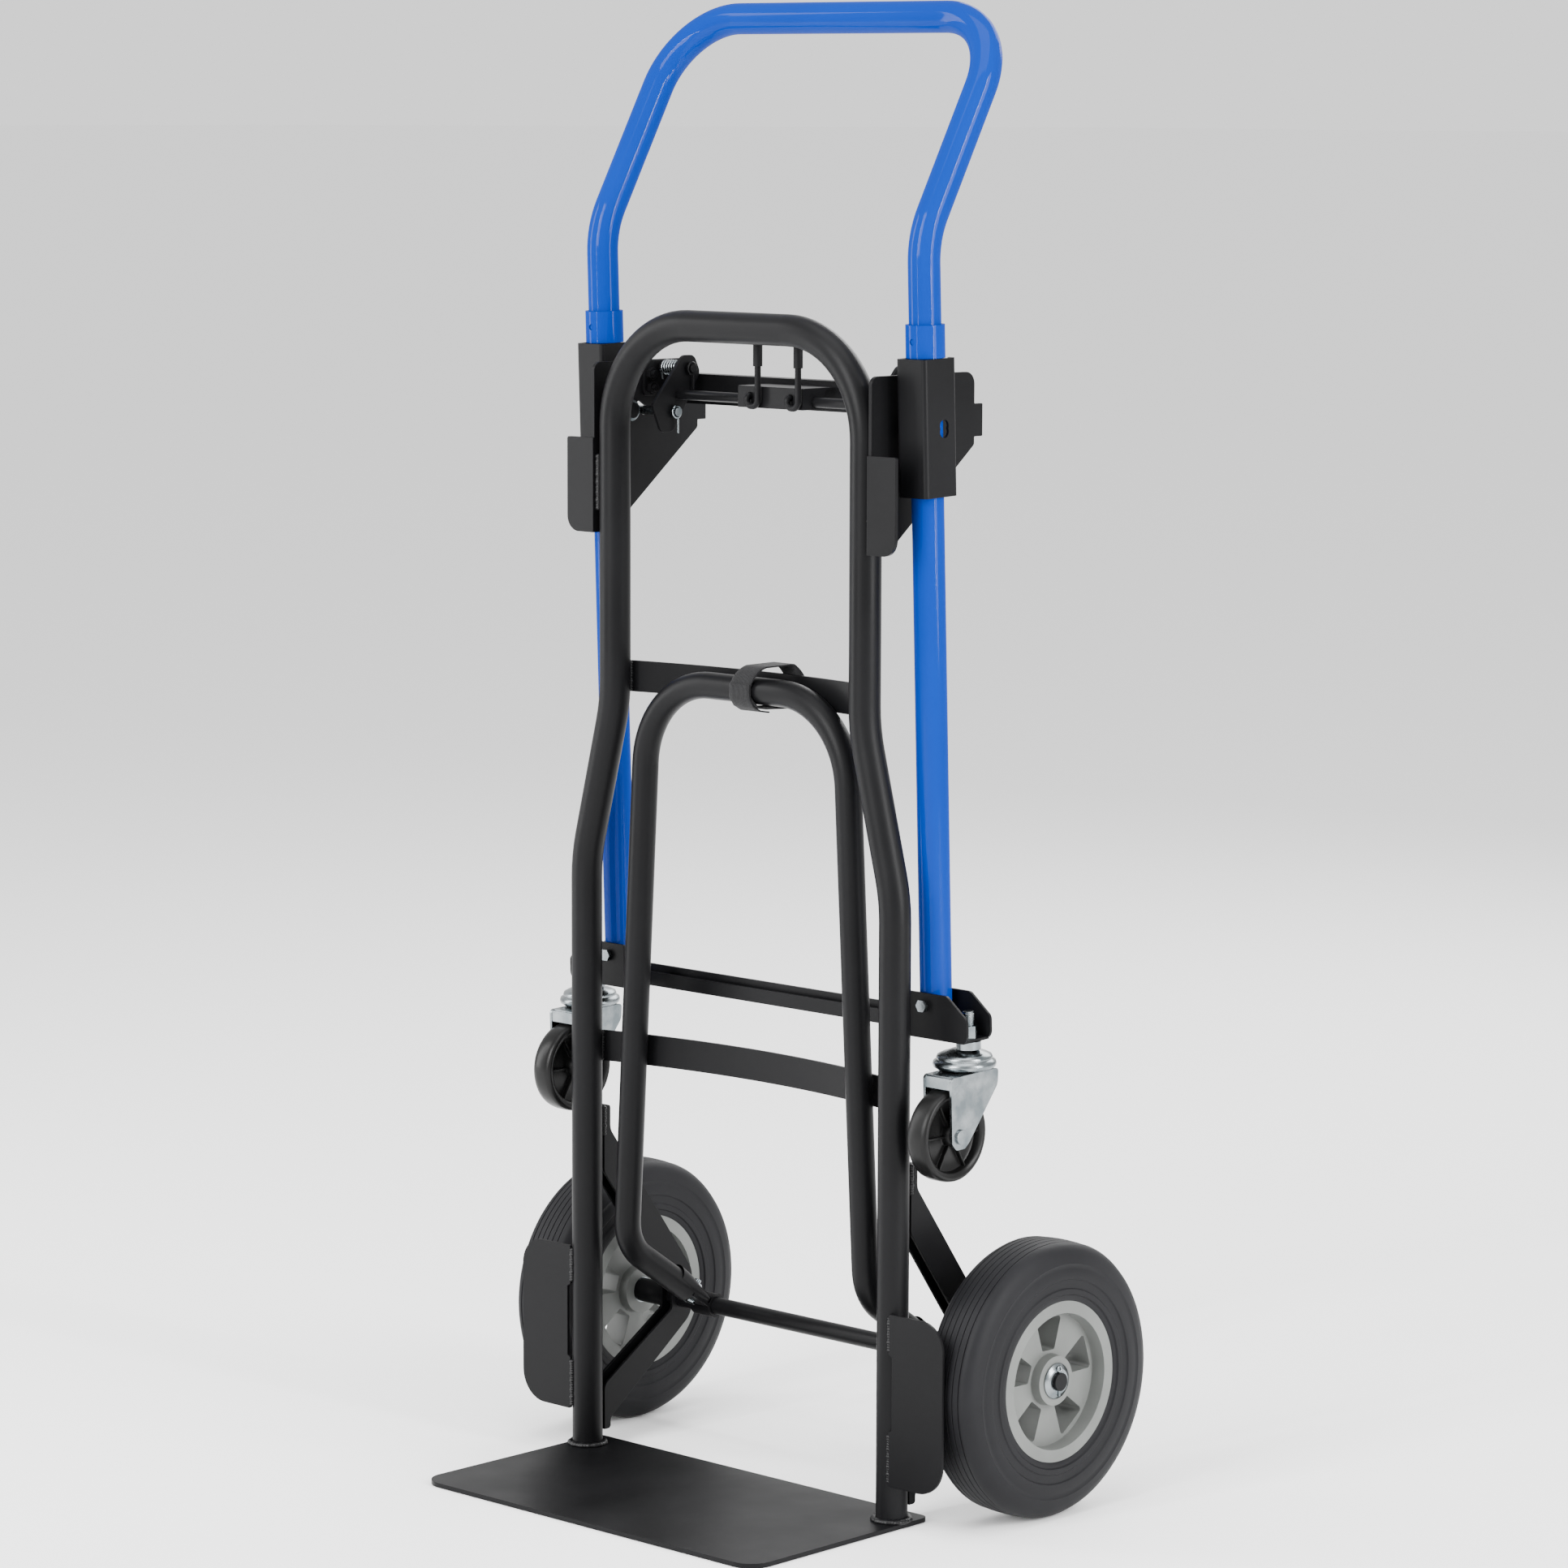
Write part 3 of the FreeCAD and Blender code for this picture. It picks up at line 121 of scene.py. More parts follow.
def point_at_height(point, axis, z):
    return point + axis * ((z - point.z) / axis.z)


# ---- modelling steps ----

def start_clean():
    if bpy.context.mode != "OBJECT":
        bpy.ops.object.mode_set(mode="OBJECT")
    bpy.ops.object.select_all(action="DESELECT")


def only(piece):
    start_clean()
    piece.select_set(True)
    bpy.context.view_layer.objects.active = piece


def apply_modifiers(piece):
    only(piece)
    for modifier in list(piece.modifiers):
        bpy.ops.object.modifier_apply(modifier=modifier.name)


def settle(piece, name, angle=40.0):
    """Names a finished piece, bakes its place into its mesh and shades it."""
    apply_modifiers(piece)
    bpy.ops.object.transform_apply(location=True, rotation=True, scale=True)
    piece.name = name
    bpy.ops.object.mode_set(mode="EDIT")
    bpy.ops.mesh.select_all(action="SELECT")
    bpy.ops.mesh.remove_doubles(threshold=1e-6)
    bpy.ops.mesh.normals_make_consistent(inside=False)
    bpy.ops.object.mode_set(mode="OBJECT")
    bpy.ops.object.shade_smooth_by_angle(angle=math.radians(angle))
    return piece


def finish_piece(piece, body, material, nodes=()):
    piece.data.materials.clear()
    piece.data.materials.append(material)
    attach(piece, body)
    if nodes:
        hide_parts(*nodes)
    return piece


def join(pieces):
    start_clean()
    for piece in pieces:
        piece.select_set(True)
    bpy.context.view_layer.objects.active = pieces[0]
    if len(pieces) > 1:
        bpy.ops.object.join()
    return pieces[0]


def traced_line(points):
    """An open chain of edges, extruded from one vertex to the next."""
    start_clean()
    bpy.ops.mesh.primitive_plane_add(size=MM, location=points[0])
    bpy.ops.object.mode_set(mode="EDIT")
    bpy.ops.mesh.select_all(action="SELECT")
    bpy.ops.mesh.merge(type="CENTER")
    for before, after in zip(points, points[1:]):
        step = Vector(after) - Vector(before)
        bpy.ops.mesh.extrude_region_move(TRANSFORM_OT_translate={"value": step})
    return bpy.context.object


def turned(points, axis_point, axis, steps):
    """A profile line spun once around an axis."""
    piece = traced_line(points)
    bpy.ops.mesh.select_all(action="SELECT")
    bpy.ops.mesh.spin(steps=steps, angle=TURN, center=axis_point, axis=axis)
    bpy.ops.mesh.select_all(action="SELECT")
    bpy.ops.mesh.remove_doubles(threshold=1e-6)
    bpy.ops.object.mode_set(mode="OBJECT")
    return piece


def wheel_turned(profile, hub, steps):
    """Turns (across, radius) pairs in millimetres around the X axis through a hub point."""
    points = [Vector((hub.x + x * MM, hub.y, hub.z + r * MM)) for x, r in profile]
    return turned(points, hub, (1, 0, 0), steps)


def closed(profile):
    return profile + profile[:1]


def both_faces(half):
    """A closed profile from its outer half, mirrored across the middle of the wheel."""
    return closed(half + [(-x, r) for x, r in reversed(half)])


def coil(wire_r, coil_r, turns, pitch, steps, wire_steps):
    """A wire wound around the Z axis from the origin upwards."""
    start_clean()
    bpy.ops.mesh.primitive_circle_add(vertices=wire_steps, radius=wire_r, location=(coil_r, 0, 0),
                                      rotation=(math.pi / 2, 0, 0))
    piece = bpy.context.object
    bpy.ops.object.transform_apply(location=True, rotation=True)
    screw = piece.modifiers.new("Wind", "SCREW")
    screw.axis = "Z"
    screw.angle = TURN
    screw.screw_offset = pitch
    screw.iterations = turns
    screw.steps = steps
    screw.render_steps = steps
    apply_modifiers(piece)
    return piece


def aim(piece, place, axis):
    """Turns a piece built along +Z to an axis and carries it to its place."""
    piece.rotation_mode = "QUATERNION"
    piece.rotation_quaternion = Vector((0, 0, 1)).rotation_difference(Vector(axis))
    piece.location = place
    only(piece)
    bpy.ops.object.transform_apply(location=True, rotation=True, scale=True)
    return piece


def ripple(index):
    """A small repeatable unevenness between -1 and 1."""
    return math.sin(index * 12.9898) * math.cos(index * 4.1414)


def weld_run(places, radius, flatten=0.75):
    """A bead of overlapping drops of weld metal."""
    drops = []
    for i, place in enumerate(places):
        start_clean()
        size = radius * (1.0 + 0.16 * ripple(i))
        bpy.ops.mesh.primitive_ico_sphere_add(subdivisions=2, radius=size, location=place)
        drop = bpy.context.object
        drop.scale = (1.0, 1.0, flatten)
        drops.append(drop)
    return join(drops)


def spaced(start, end, gap):
    start, end = Vector(start), Vector(end)
    count = max(2, int((end - start).length / gap) + 1)
    return [start.lerp(end, i / (count - 1)) for i in range(count)]


def ring_places(middle, radius, count):
    angles = [TURN * i / count for i in range(count)]
    return [Vector(middle) + Vector((radius * math.cos(a), radius * math.sin(a), 0)) for a in angles]


# ---- finishes ----

def new_finish(name, colour, roughness, metallic=0.0, specular=0.5):
    material = bpy.data.materials.new(name)
    material.use_nodes = True
    shader = material.node_tree.nodes["Principled BSDF"]
    shader.inputs["Base Color"].default_value = (*colour, 1.0)
    shader.inputs["Roughness"].default_value = roughness
    shader.inputs["Metallic"].default_value = metallic
    shader.inputs["Specular IOR Level"].default_value = specular
    return material, material.node_tree, shader


def object_coords(tree):
    return tree.nodes.new("ShaderNodeTexCoord").outputs["Object"]


def noise(tree, coords, scale, detail=4.0, stretch=None):
    if stretch:
        mapping = tree.nodes.new("ShaderNodeMapping")
        mapping.inputs["Scale"].default_value = stretch
        tree.links.new(coords, mapping.inputs["Vector"])
        coords = mapping.outputs["Vector"]
    texture = tree.nodes.new("ShaderNodeTexNoise")
    texture.inputs["Scale"].default_value = scale
    texture.inputs["Detail"].default_value = detail
    tree.links.new(coords, texture.inputs["Vector"])
    return texture.outputs["Fac"]


def spread(tree, value, low, high, from_low=0.3, from_high=0.7):
    """Carries a noise value to a range of roughness."""
    node = tree.nodes.new("ShaderNodeMapRange")
    node.inputs["From Min"].default_value = from_low
    node.inputs["From Max"].default_value = from_high
    node.inputs["To Min"].default_value = low
    node.inputs["To Max"].default_value = high
    tree.links.new(value, node.inputs["Value"])
    return node.outputs["Result"]


def tint(tree, value, low_colour, high_colour, low=0.35, high=0.7):
    ramp = tree.nodes.new("ShaderNodeValToRGB")
    ramp.color_ramp.elements[0].position = low
    ramp.color_ramp.elements[0].color = (*low_colour, 1.0)
    ramp.color_ramp.elements[1].position = high
    ramp.color_ramp.elements[1].color = (*high_colour, 1.0)
    tree.links.new(value, ramp.inputs["Fac"])
    return ramp.outputs["Color"]


def soft_edges(tree, radius):
    """A rounded look along sharp edges, as paint and plating give."""
    node = tree.nodes.new("ShaderNodeBevel")
    node.samples = 4
    node.inputs["Radius"].default_value = radius
    return node.outputs["Normal"]


def bump(tree, shader, value, strength, distance, edges=None):
    node = tree.nodes.new("ShaderNodeBump")
    node.inputs["Strength"].default_value = strength
    node.inputs["Distance"].default_value = distance
    tree.links.new(value, node.inputs["Height"])
    if edges:
        tree.links.new(edges, node.inputs["Normal"])
    tree.links.new(node.outputs["Normal"], shader.inputs["Normal"])


def powder_coat(name, colour, worn_colour, roughness, coat, grain, specular):
    """Baked powder paint: a fine orange peel, soft edges and faint rubbed patches."""
    material, tree, shader = new_finish(name, colour, roughness, 0.0, specular)
    coords = object_coords(tree)
    patches = noise(tree, coords, 9.0, 6.0)
    tree.links.new(tint(tree, patches, colour, worn_colour), shader.inputs["Base Color"])
    rubbed = spread(tree, patches, roughness - 0.05, roughness + 0.07)
    tree.links.new(rubbed, shader.inputs["Roughness"])
    shader.inputs["Coat Weight"].default_value = coat
    shader.inputs["Coat Roughness"].default_value = 0.07
    bump(tree, shader, noise(tree, coords, grain, 2.0), 0.09, 0.0005, soft_edges(tree, 0.0008))
    return material


def plated_zinc():
    """Zinc plate with a cloudy bloom and fine scratches."""
    material, tree, shader = new_finish("bright zinc", (0.42, 0.44, 0.45), 0.24, 1.0)
    coords = object_coords(tree)
    clouds = noise(tree, coords, 60.0, 5.0)
    tree.links.new(tint(tree, clouds, (0.12, 0.14, 0.15), (0.27, 0.29, 0.30)), shader.inputs["Base Color"])
    tree.links.new(spread(tree, clouds, 0.16, 0.34), shader.inputs["Roughness"])
    scratches = noise(tree, coords, 900.0, 2.0, (0.2, 1.0, 1.0))
    bump(tree, shader, scratches, 0.06, 0.0003, soft_edges(tree, 0.0005))
    return material


def moulded(name, colour, roughness, grain, depth, specular=0.3):
    """Moulded plastic or rubber: a matte skin with small pits and dull patches."""
    material, tree, shader = new_finish(name, colour, roughness, 0.0, specular)
    coords = object_coords(tree)
    patches = noise(tree, coords, 14.0, 6.0)
    lighter = tuple(c * 1.35 + 0.002 for c in colour)
    tree.links.new(tint(tree, patches, colour, lighter, 0.4, 0.75), shader.inputs["Base Color"])
    tree.links.new(spread(tree, patches, roughness - 0.06, roughness + 0.08), shader.inputs["Roughness"])
    bump(tree, shader, noise(tree, coords, grain, 3.0), 0.14, depth, soft_edges(tree, 0.0006))
    return material


def woven_strap():
    """Looped nylon webbing: a fuzzy weave with a ribbed lie."""
    material, tree, shader = new_finish("looped webbing", (0.005, 0.005, 0.0055), 0.85, 0.0, 0.08)
    coords = object_coords(tree)
    ribs = tree.nodes.new("ShaderNodeTexWave")
    ribs.bands_direction = "X"
    ribs.inputs["Scale"].default_value = 260.0
    ribs.inputs["Distortion"].default_value = 3.0
    tree.links.new(coords, ribs.inputs["Vector"])
    fuzz = noise(tree, coords, 1400.0, 3.0)
    mix = tree.nodes.new("ShaderNodeMath")
    mix.operation = "ADD"
    tree.links.new(ribs.outputs["Fac"], mix.inputs[0])
    tree.links.new(fuzz, mix.inputs[1])
    tree.links.new(tint(tree, fuzz, (0.003, 0.003, 0.0035), (0.012, 0.012, 0.013)),
                   shader.inputs["Base Color"])
    shader.inputs["Sheen Weight"].default_value = 0.12
    shader.inputs["Sheen Roughness"].default_value = 0.5
    bump(tree, shader, mix.outputs["Value"], 0.5, 0.0006)
    return material


FINISHES = {}
BLUE_NODES = ("handle_loop", "leg_tube_left", "leg_tube_right", "collar_left", "collar_right",
              "collar_rivets")


def make_finishes(look):
    black = tuple(look.frame_colour)
    blue = tuple(look.handle_colour)
    FINISHES["frame_paint"] = powder_coat("black powder coat", black, tuple(c * 1.5 for c in black),
                                          look.frame_roughness, 0.0, 1300.0, 0.10)
    FINISHES["handle_paint"] = powder_coat("blue powder coat", blue, tuple(c * 1.08 for c in blue),
                                           look.handle_roughness, 0.16, 700.0, 0.0)
    FINISHES["zinc"] = plated_zinc()
    FINISHES["tyre_rubber"] = moulded("tyre rubber", (0.0055, 0.0055, 0.0065), 0.52, 900.0, 0.0004, 0.12)
    FINISHES["rim_plastic"] = moulded("grey rim plastic", tuple(look.rim_colour), 0.46, 700.0, 0.0003)
    FINISHES["caster_plastic"] = moulded("black caster plastic", (0.0045, 0.0045, 0.0045), 0.34, 800.0,
                                         0.0002, 0.14)
    FINISHES["grip_rubber"] = moulded("dipped grip rubber", (0.004, 0.004, 0.0045), 0.5, 1200.0, 0.0003, 0.12)
    FINISHES["strap_fabric"] = woven_strap()
    FINISHES["weld"] = powder_coat("painted weld", black, tuple(c * 1.8 for c in black), 0.36, 0.0,
                                   900.0, 0.25)


def paint_cad_nodes():
    slots = {part["node"]: part["material_slot"] for part in frame["record"]["subparts"]}
    for node, part in frame["nodes"].items():
        finish = "handle_paint" if node in BLUE_NODES else slots[node]
        part.data.materials.clear()
        part.data.materials.append(FINISHES[finish])


# ---- sizes and colours a user may change ----

class TruckLook(bpy.types.PropertyGroup):
    frame_colour: bpy.props.FloatVectorProperty(
        name="Frame colour", description="Powder coat of the frame", subtype="COLOR",
        default=(0.0032, 0.0032, 0.0036), min=0.0, max=1.0)
    handle_colour: bpy.props.FloatVectorProperty(
        name="Handle colour", description="Powder coat of the sliding handle", subtype="COLOR",
        default=(0.0, 0.023, 0.20), min=0.0, max=1.0)
    rim_colour: bpy.props.FloatVectorProperty(
        name="Rim colour", description="Plastic of the wheel rims", subtype="COLOR",
        default=(0.105, 0.110, 0.105), min=0.0, max=1.0)
    frame_roughness: bpy.props.FloatProperty(
        name="Frame roughness", description="How dull the frame's coat is", default=0.40, min=0.1, max=0.9)
    handle_roughness: bpy.props.FloatProperty(
        name="Handle roughness", description="How dull the handle's coat is", default=0.26, min=0.1, max=0.9)


class TruckSizes(bpy.types.PropertyGroup):
    groove_depth: bpy.props.FloatProperty(
        name="Groove depth", description="Depth of the tread grooves", default=0.0009, min=0.0, max=0.005,
        unit="LENGTH")
    strap_thickness: bpy.props.FloatProperty(
        name="Strap thickness", description="Thickness of the webbing", default=0.0014, min=0.0005, max=0.002,
        unit="LENGTH")
    spring_wire: bpy.props.FloatProperty(
        name="Spring wire", description="Radius of the latch springs' wire", default=0.0009, min=0.0005,
        max=0.0015, unit="LENGTH")
    weld_radius: bpy.props.FloatProperty(
        name="Weld bead", description="Radius of the weld beads", default=0.0031, min=0.001, max=0.004,
        unit="LENGTH")


# ---- operators, one for each piece or group of like pieces ----

class TRUCK_OT_finishes(bpy.types.Operator):
    """Makes the finishes and gives them to the pieces of the frame"""
    bl_idname = "truck.finishes"
    bl_label = "Finishes"

    def execute(self, context):
        make_finishes(context.scene.truck_look)
        paint_cad_nodes()
        return {"FINISHED"}


class TRUCK_OT_tyres(bpy.types.Operator):
    """Builds the two tyres with their grooved tread and stepped side walls"""
    bl_idname = "truck.tyres"
    bl_label = "Tyres"

    def execute(self, context):
        groove = context.scene.truck_sizes.groove_depth / MM
        side = [(26.5, 71.5), (27.4, 73.0), (27.4, 76.5), (28.7, 77.5), (28.7, 82.0), (27.8, 83.0),
                (27.8, 90.0), (28.8, 91.0), (29.0, 99.0), (28.4, 100.2), (28.4, 103.6), (28.8, 104.4),
                (27.6, 110.5), (25.6, 115.8), (22.2, 119.6), (18.4, 121.9)]
        tread = []
        for groove_x in (15.5, 9.3, 3.1):
            crown = 122.9 - 0.004 * groove_x ** 2
            tread += [(groove_x + 0.5, crown), (groove_x + 0.3, crown - groove),
                      (groove_x - 0.3, crown - groove), (groove_x - 0.5, crown)]
        for side_name, _ in SIDES:
            hub = centre("tyre_" + side_name)
            piece = wheel_turned(both_faces(side + tread), hub, 128)
            settle(piece, "grooved_tyre_" + side_name, 35.0)
            finish_piece(piece, "wheel_" + side_name, FINISHES["tyre_rubber"],
                         ["tyre_" + side_name])
        return {"FINISHED"}


class TRUCK_OT_hub_caps(bpy.types.Operator):
    """Builds the dished zinc retainers of the two wheels"""
    bl_idname = "truck.hub_caps"
    bl_label = "Hub caps"

    def execute(self, context):
        dish = [(0.0, 8.1), (0.0, 15.8), (0.7, 16.0), (1.6, 15.4), (2.6, 12.4), (3.4, 11.6), (3.4, 8.1)]
        caps = []
        for side_name, sign in SIDES:
            low, high = side_box("axle_washers", sign)
            inner_x = low.x if sign > 0 else high.x
            hub = Vector((inner_x, centre("axle").y, centre("axle").z))
            caps.append(wheel_turned(closed([(x * sign, r) for x, r in dish]), hub, 48))
        piece = settle(join(caps), "hub_retainers")
        finish_piece(piece, "frame", FINISHES["zinc"], ["axle_washers"])
        return {"FINISHED"}


class TRUCK_OT_caster_wheels(bpy.types.Operator):
    """Builds the two caster wheels with their rounded treads and ribbed webs"""
    bl_idname = "truck.caster_wheels"
    bl_label = "Caster wheels"

    def execute(self, context):
        half = [(2.6, 11.5), (2.6, 30.5), (3.4, 31.8), (8.2, 32.6), (9.2, 33.2), (10.4, 35.4), (11.0, 37.0),
                (10.6, 38.6), (9.0, 40.0), (5.0, 40.8)]
        hub_half = [(11.0, 4.1), (11.0, 8.4), (10.3, 9.2), (3.4, 10.4)]
        ribs = 6
        for side_name, _ in SIDES:
            hub = centre("caster_wheel_" + side_name)
            pieces = [wheel_turned(both_faces(hub_half + half), hub, 72)]
            for k in range(ribs):
                pieces.append(self.rib(hub, TURN * (k + 0.5) / ribs))
            piece = settle(join(pieces), "ribbed_caster_wheel_" + side_name)
            finish_piece(piece, "caster_roller_" + side_name, FINISHES["caster_plastic"],
                         ["caster_wheel_" + side_name])
        return {"FINISHED"}

    def rib(self, hub, angle):
        """One thin rib that runs from the hub to the tread's ring, a box with softly bevelled edges."""
        start_clean()
        middle_r = 21.0 * MM
        bpy.ops.mesh.primitive_cube_add(size=1.0, location=(0, 0, 0))
        rib = bpy.context.object
        rib.scale = (14.0 * MM, 1.6 * MM, 24.0 * MM)
        bpy.ops.object.transform_apply(scale=True)
        bevel = rib.modifiers.new("Soft", "BEVEL")
        bevel.width = 0.4 * MM
        apply_modifiers(rib)
        rib.location = (hub.x, hub.y + middle_r * math.sin(angle), hub.z + middle_r * math.cos(angle))
        rib.rotation_euler = (-angle, 0, 0)
        only(rib)
        bpy.ops.object.transform_apply(location=True, rotation=True)
        return rib


class TRUCK_OT_raceways(bpy.types.Operator):
    """Builds the pressed ball races of the casters, along the stem's slope"""
    bl_idname = "truck.raceways"
    bl_label = "Ball races"

    def execute(self, context):
        profile = [(4.9, 0.2), (19.0, 0.2), (24.5, 0.6), (27.4, 2.6), (27.9, 5.0), (27.2, 7.2), (25.2, 8.4),
                   (24.4, 9.2), (24.8, 10.2), (23.8, 12.4), (20.2, 14.2), (15.0, 15.6), (11.5, 17.2),
                   (4.9, 17.3)]
        for side_name, _ in SIDES:
            joint = joint_named("caster_swivel_" + side_name)
            axis = Vector(joint["axis"]).normalized()
            place = point_at_height(Vector(joint["pos_m"]), axis, centre("caster_raceway_" + side_name).z)
            place = place - axis * 8.7 * MM
            points = [Vector((r * MM, 0, z * MM)) for r, z in closed(profile)]
            piece = turned(points, (0, 0, 0), (0, 0, 1), 72)
            settle(aim(piece, place, axis), "ball_race_" + side_name, 50.0)
            finish_piece(piece, "caster_" + side_name, FINISHES["zinc"],
                         ["caster_raceway_" + side_name])
        return {"FINISHED"}


class TRUCK_OT_threads(bpy.types.Operator):
    """Winds the visible thread on the stem of each caster"""
    bl_idname = "truck.threads"
    bl_label = "Stem threads"

    def execute(self, context):
        for side_name, _ in SIDES:
            joint = joint_named("caster_swivel_" + side_name)
            axis = Vector(joint["axis"]).normalized()
            high_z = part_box("caster_stem_" + side_name)[1][2]
            top = point_at_height(Vector(joint["pos_m"]), axis, high_z)
            thread = coil(0.75 * MM, 4.8 * MM, 10, 1.25 * MM, 24, 6)
            piece = aim(thread, top - axis * 14.0 * MM, axis)
            settle(piece, "stem_thread_" + side_name)
            finish_piece(piece, "handle", FINISHES["zinc"])
        return {"FINISHED"}


class TRUCK_OT_latch_springs(bpy.types.Operator):
    """Winds the two torsion springs of the latch, each with its two straight arms"""
    bl_idname = "truck.latch_springs"
    bl_label = "Latch springs"

    def execute(self, context):
        wire = context.scene.truck_sizes.spring_wire
        turns = 8
        pieces = []
        for _, sign in SIDES:
            low, high = side_box("latch_springs", sign)
            coil_r = (high.y - low.y) / 2.0 - wire
            length = high.x - low.x
            pitch = (length - 2.0 * wire) / turns
            middle = (low + high) / 2.0
            spring = coil(wire, coil_r, turns, pitch, 32, 8)
            spring = aim(spring, (low.x + wire, middle.y, middle.z), (1, 0, 0))
            pieces.append(spring)
            for x, angle in ((low.x + wire, 200.0), (high.x - wire, 250.0)):
                pieces.append(self.arm(Vector((x, middle.y, middle.z)), coil_r, wire, math.radians(angle)))
        piece = settle(join(pieces), "wound_latch_springs")
        finish_piece(piece, "frame", FINISHES["zinc"], ["latch_springs"])
        return {"FINISHED"}

    def arm(self, middle, coil_r, wire, angle):
        """A straight arm that leaves the coil along its tangent."""
        start_clean()
        length = 9.0 * MM
        bpy.ops.mesh.primitive_cylinder_add(vertices=8, radius=wire, depth=length, location=(0, 0, 0))
        arm = bpy.context.object
        out = Vector((0, math.cos(angle), math.sin(angle)))
        along = Vector((0, -out.z, out.y))
        return aim(arm, middle + out * coil_r + along * length / 2.0, along)


class TRUCK_OT_welds(bpy.types.Operator):
    """Lays the weld beads at the rails' feet, the gussets, the guards, the crossbars and the brackets"""
    bl_idname = "truck.welds"
    bl_label = "Weld beads"

    def execute(self, context):
        radius = context.scene.truck_sizes.weld_radius
        runs = []
        toe_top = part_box("toe_plate")[1][2]
        rail_y = centre("main_frame_tube").y
        for side_name, sign in SIDES:
            foot = (sign * RAIL_X, rail_y, toe_top + 1.2 * MM)
            runs.append(weld_run(ring_places(foot, FOOT_RING_R, FOOT_RING_DROPS), radius * 1.15))
            runs += self.gusset_runs(side_name, sign, rail_y, radius)
            runs += self.guard_runs(side_name, sign, radius)
            runs += self.crossbar_runs(sign, radius)
            runs += self.bracket_runs(side_name, sign, rail_y, radius)
        piece = settle(join(runs), "weld_beads", 60.0)
        finish_piece(piece, "frame", FINISHES["weld"])
        return {"FINISHED"}

    def gusset_runs(self, side_name, sign, rail_y, radius):
        low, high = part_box("gusset_" + side_name)
        inner_x = low.x if sign > 0 else high.x
        front = [(inner_x - sign * 0.6 * MM, rail_y - 8.0 * MM, low.z + z * MM) for z in (22.0, 68.0)]
        back = [(inner_x - sign * 0.8 * MM, rail_y + 9.0 * MM, low.z + z * MM) for z in (40.0, 120.0)]
        return [weld_run(spaced(*front, WELD_PITCH), radius * 1.1),
                weld_run(spaced(*back, 2.4 * MM), radius)]

    def guard_runs(self, side_name, sign, radius):
        low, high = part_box("wheel_guard_" + side_name)
        inner_x = low.x if sign > 0 else high.x
        edge = Vector((inner_x - sign * 0.6 * MM, (low.y + high.y) / 2.0 + 0.6 * MM, 0))
        runs = []
        for start, end in ((low.z + 4.0 * MM, low.z + 44.0 * MM), (high.z - 32.0 * MM, high.z - 4.0 * MM)):
            places = spaced((edge.x, edge.y, start), (edge.x, edge.y, end), WELD_PITCH)
            runs.append(weld_run(places, radius * 0.8))
        return runs

    def crossbar_runs(self, sign, radius):
        runs = []
        for node in ("upper_crossbar", "lower_crossbar"):
            low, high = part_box(node)
            x = sign * (high.x - 1.5 * MM)
            y = low.y + 0.4 * MM
            places = spaced((x, y, low.z + 2.0 * MM), (x, y, high.z - 2.0 * MM), WELD_PITCH)
            runs.append(weld_run(places, radius * 0.9))
        return runs

    def bracket_runs(self, side_name, sign, rail_y, radius):
        low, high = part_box("axle_bracket_" + side_name)
        runs = []
        for x in (low.x, high.x):
            start = (x, rail_y + 13.6 * MM, high.z - 26.0 * MM)
            end = (x, rail_y + 13.6 * MM, high.z - 2.0 * MM)
            runs.append(weld_run(spaced(start, end, WELD_PITCH), radius * 0.8))
        return runs


class TRUCK_OT_flattened_feet(bpy.types.Operator):
    """Builds the pressed ends of the nose extension, from round tube down to a flat tongue"""
    bl_idname = "truck.flattened_feet"
    bl_label = "Flattened feet"

    def execute(self, context):
        hinge = centre("axle")
        feet = [self.foot(sign * NOSE_FOOT_X, hinge) for _, sign in SIDES]
        piece = settle(join(feet), "pressed_tube_ends", 50.0)
        finish_piece(piece, "nose_extension", FINISHES["frame_paint"])
        return {"FINISHED"}

    def foot(self, x, hinge):
        """A ring of the tube, drawn out towards the axle and pressed flat on the way."""
        start_clean()
        bpy.ops.mesh.primitive_circle_add(vertices=32, radius=TUBE_R, location=(0, 0, 0))
        bpy.ops.object.mode_set(mode="EDIT")
        bpy.ops.mesh.select_all(action="SELECT")
        bpy.ops.mesh.extrude_region_move(TRANSFORM_OT_translate={"value": (0, 0, PRESS_START)})
        for length, widen, press in PRESS_STATIONS:
            bpy.ops.mesh.extrude_region_move(TRANSFORM_OT_translate={"value": (0, 0, length * MM)})
            bpy.ops.transform.resize(value=(widen, press, 1.0), center_override=(0, 0, 0))
        bpy.ops.mesh.edge_face_add()
        bpy.ops.object.mode_set(mode="OBJECT")
        foot = bpy.context.object
        smooth = foot.modifiers.new("Smooth", "SUBSURF")
        smooth.levels = 1
        smooth.render_levels = 1
        apply_modifiers(foot)
        return self.laid_on_foot(foot, x, hinge)

    def laid_on_foot(self, foot, x, hinge):
        """Carries the pressed end to the tube, its flat across the truck."""
        low = centre("clip_bolts")
        towards_axle = Vector((0, hinge.y - low.y, hinge.z - low.z)).normalized()
        foot.rotation_mode = "XYZ"
        foot.rotation_euler = (math.atan2(-towards_axle.y, towards_axle.z), 0, 0)
        foot.location = Vector((x, hinge.y, hinge.z)) - towards_axle * PRESS_REACH
        only(foot)
        bpy.ops.object.transform_apply(location=True, rotation=True)
        return foot


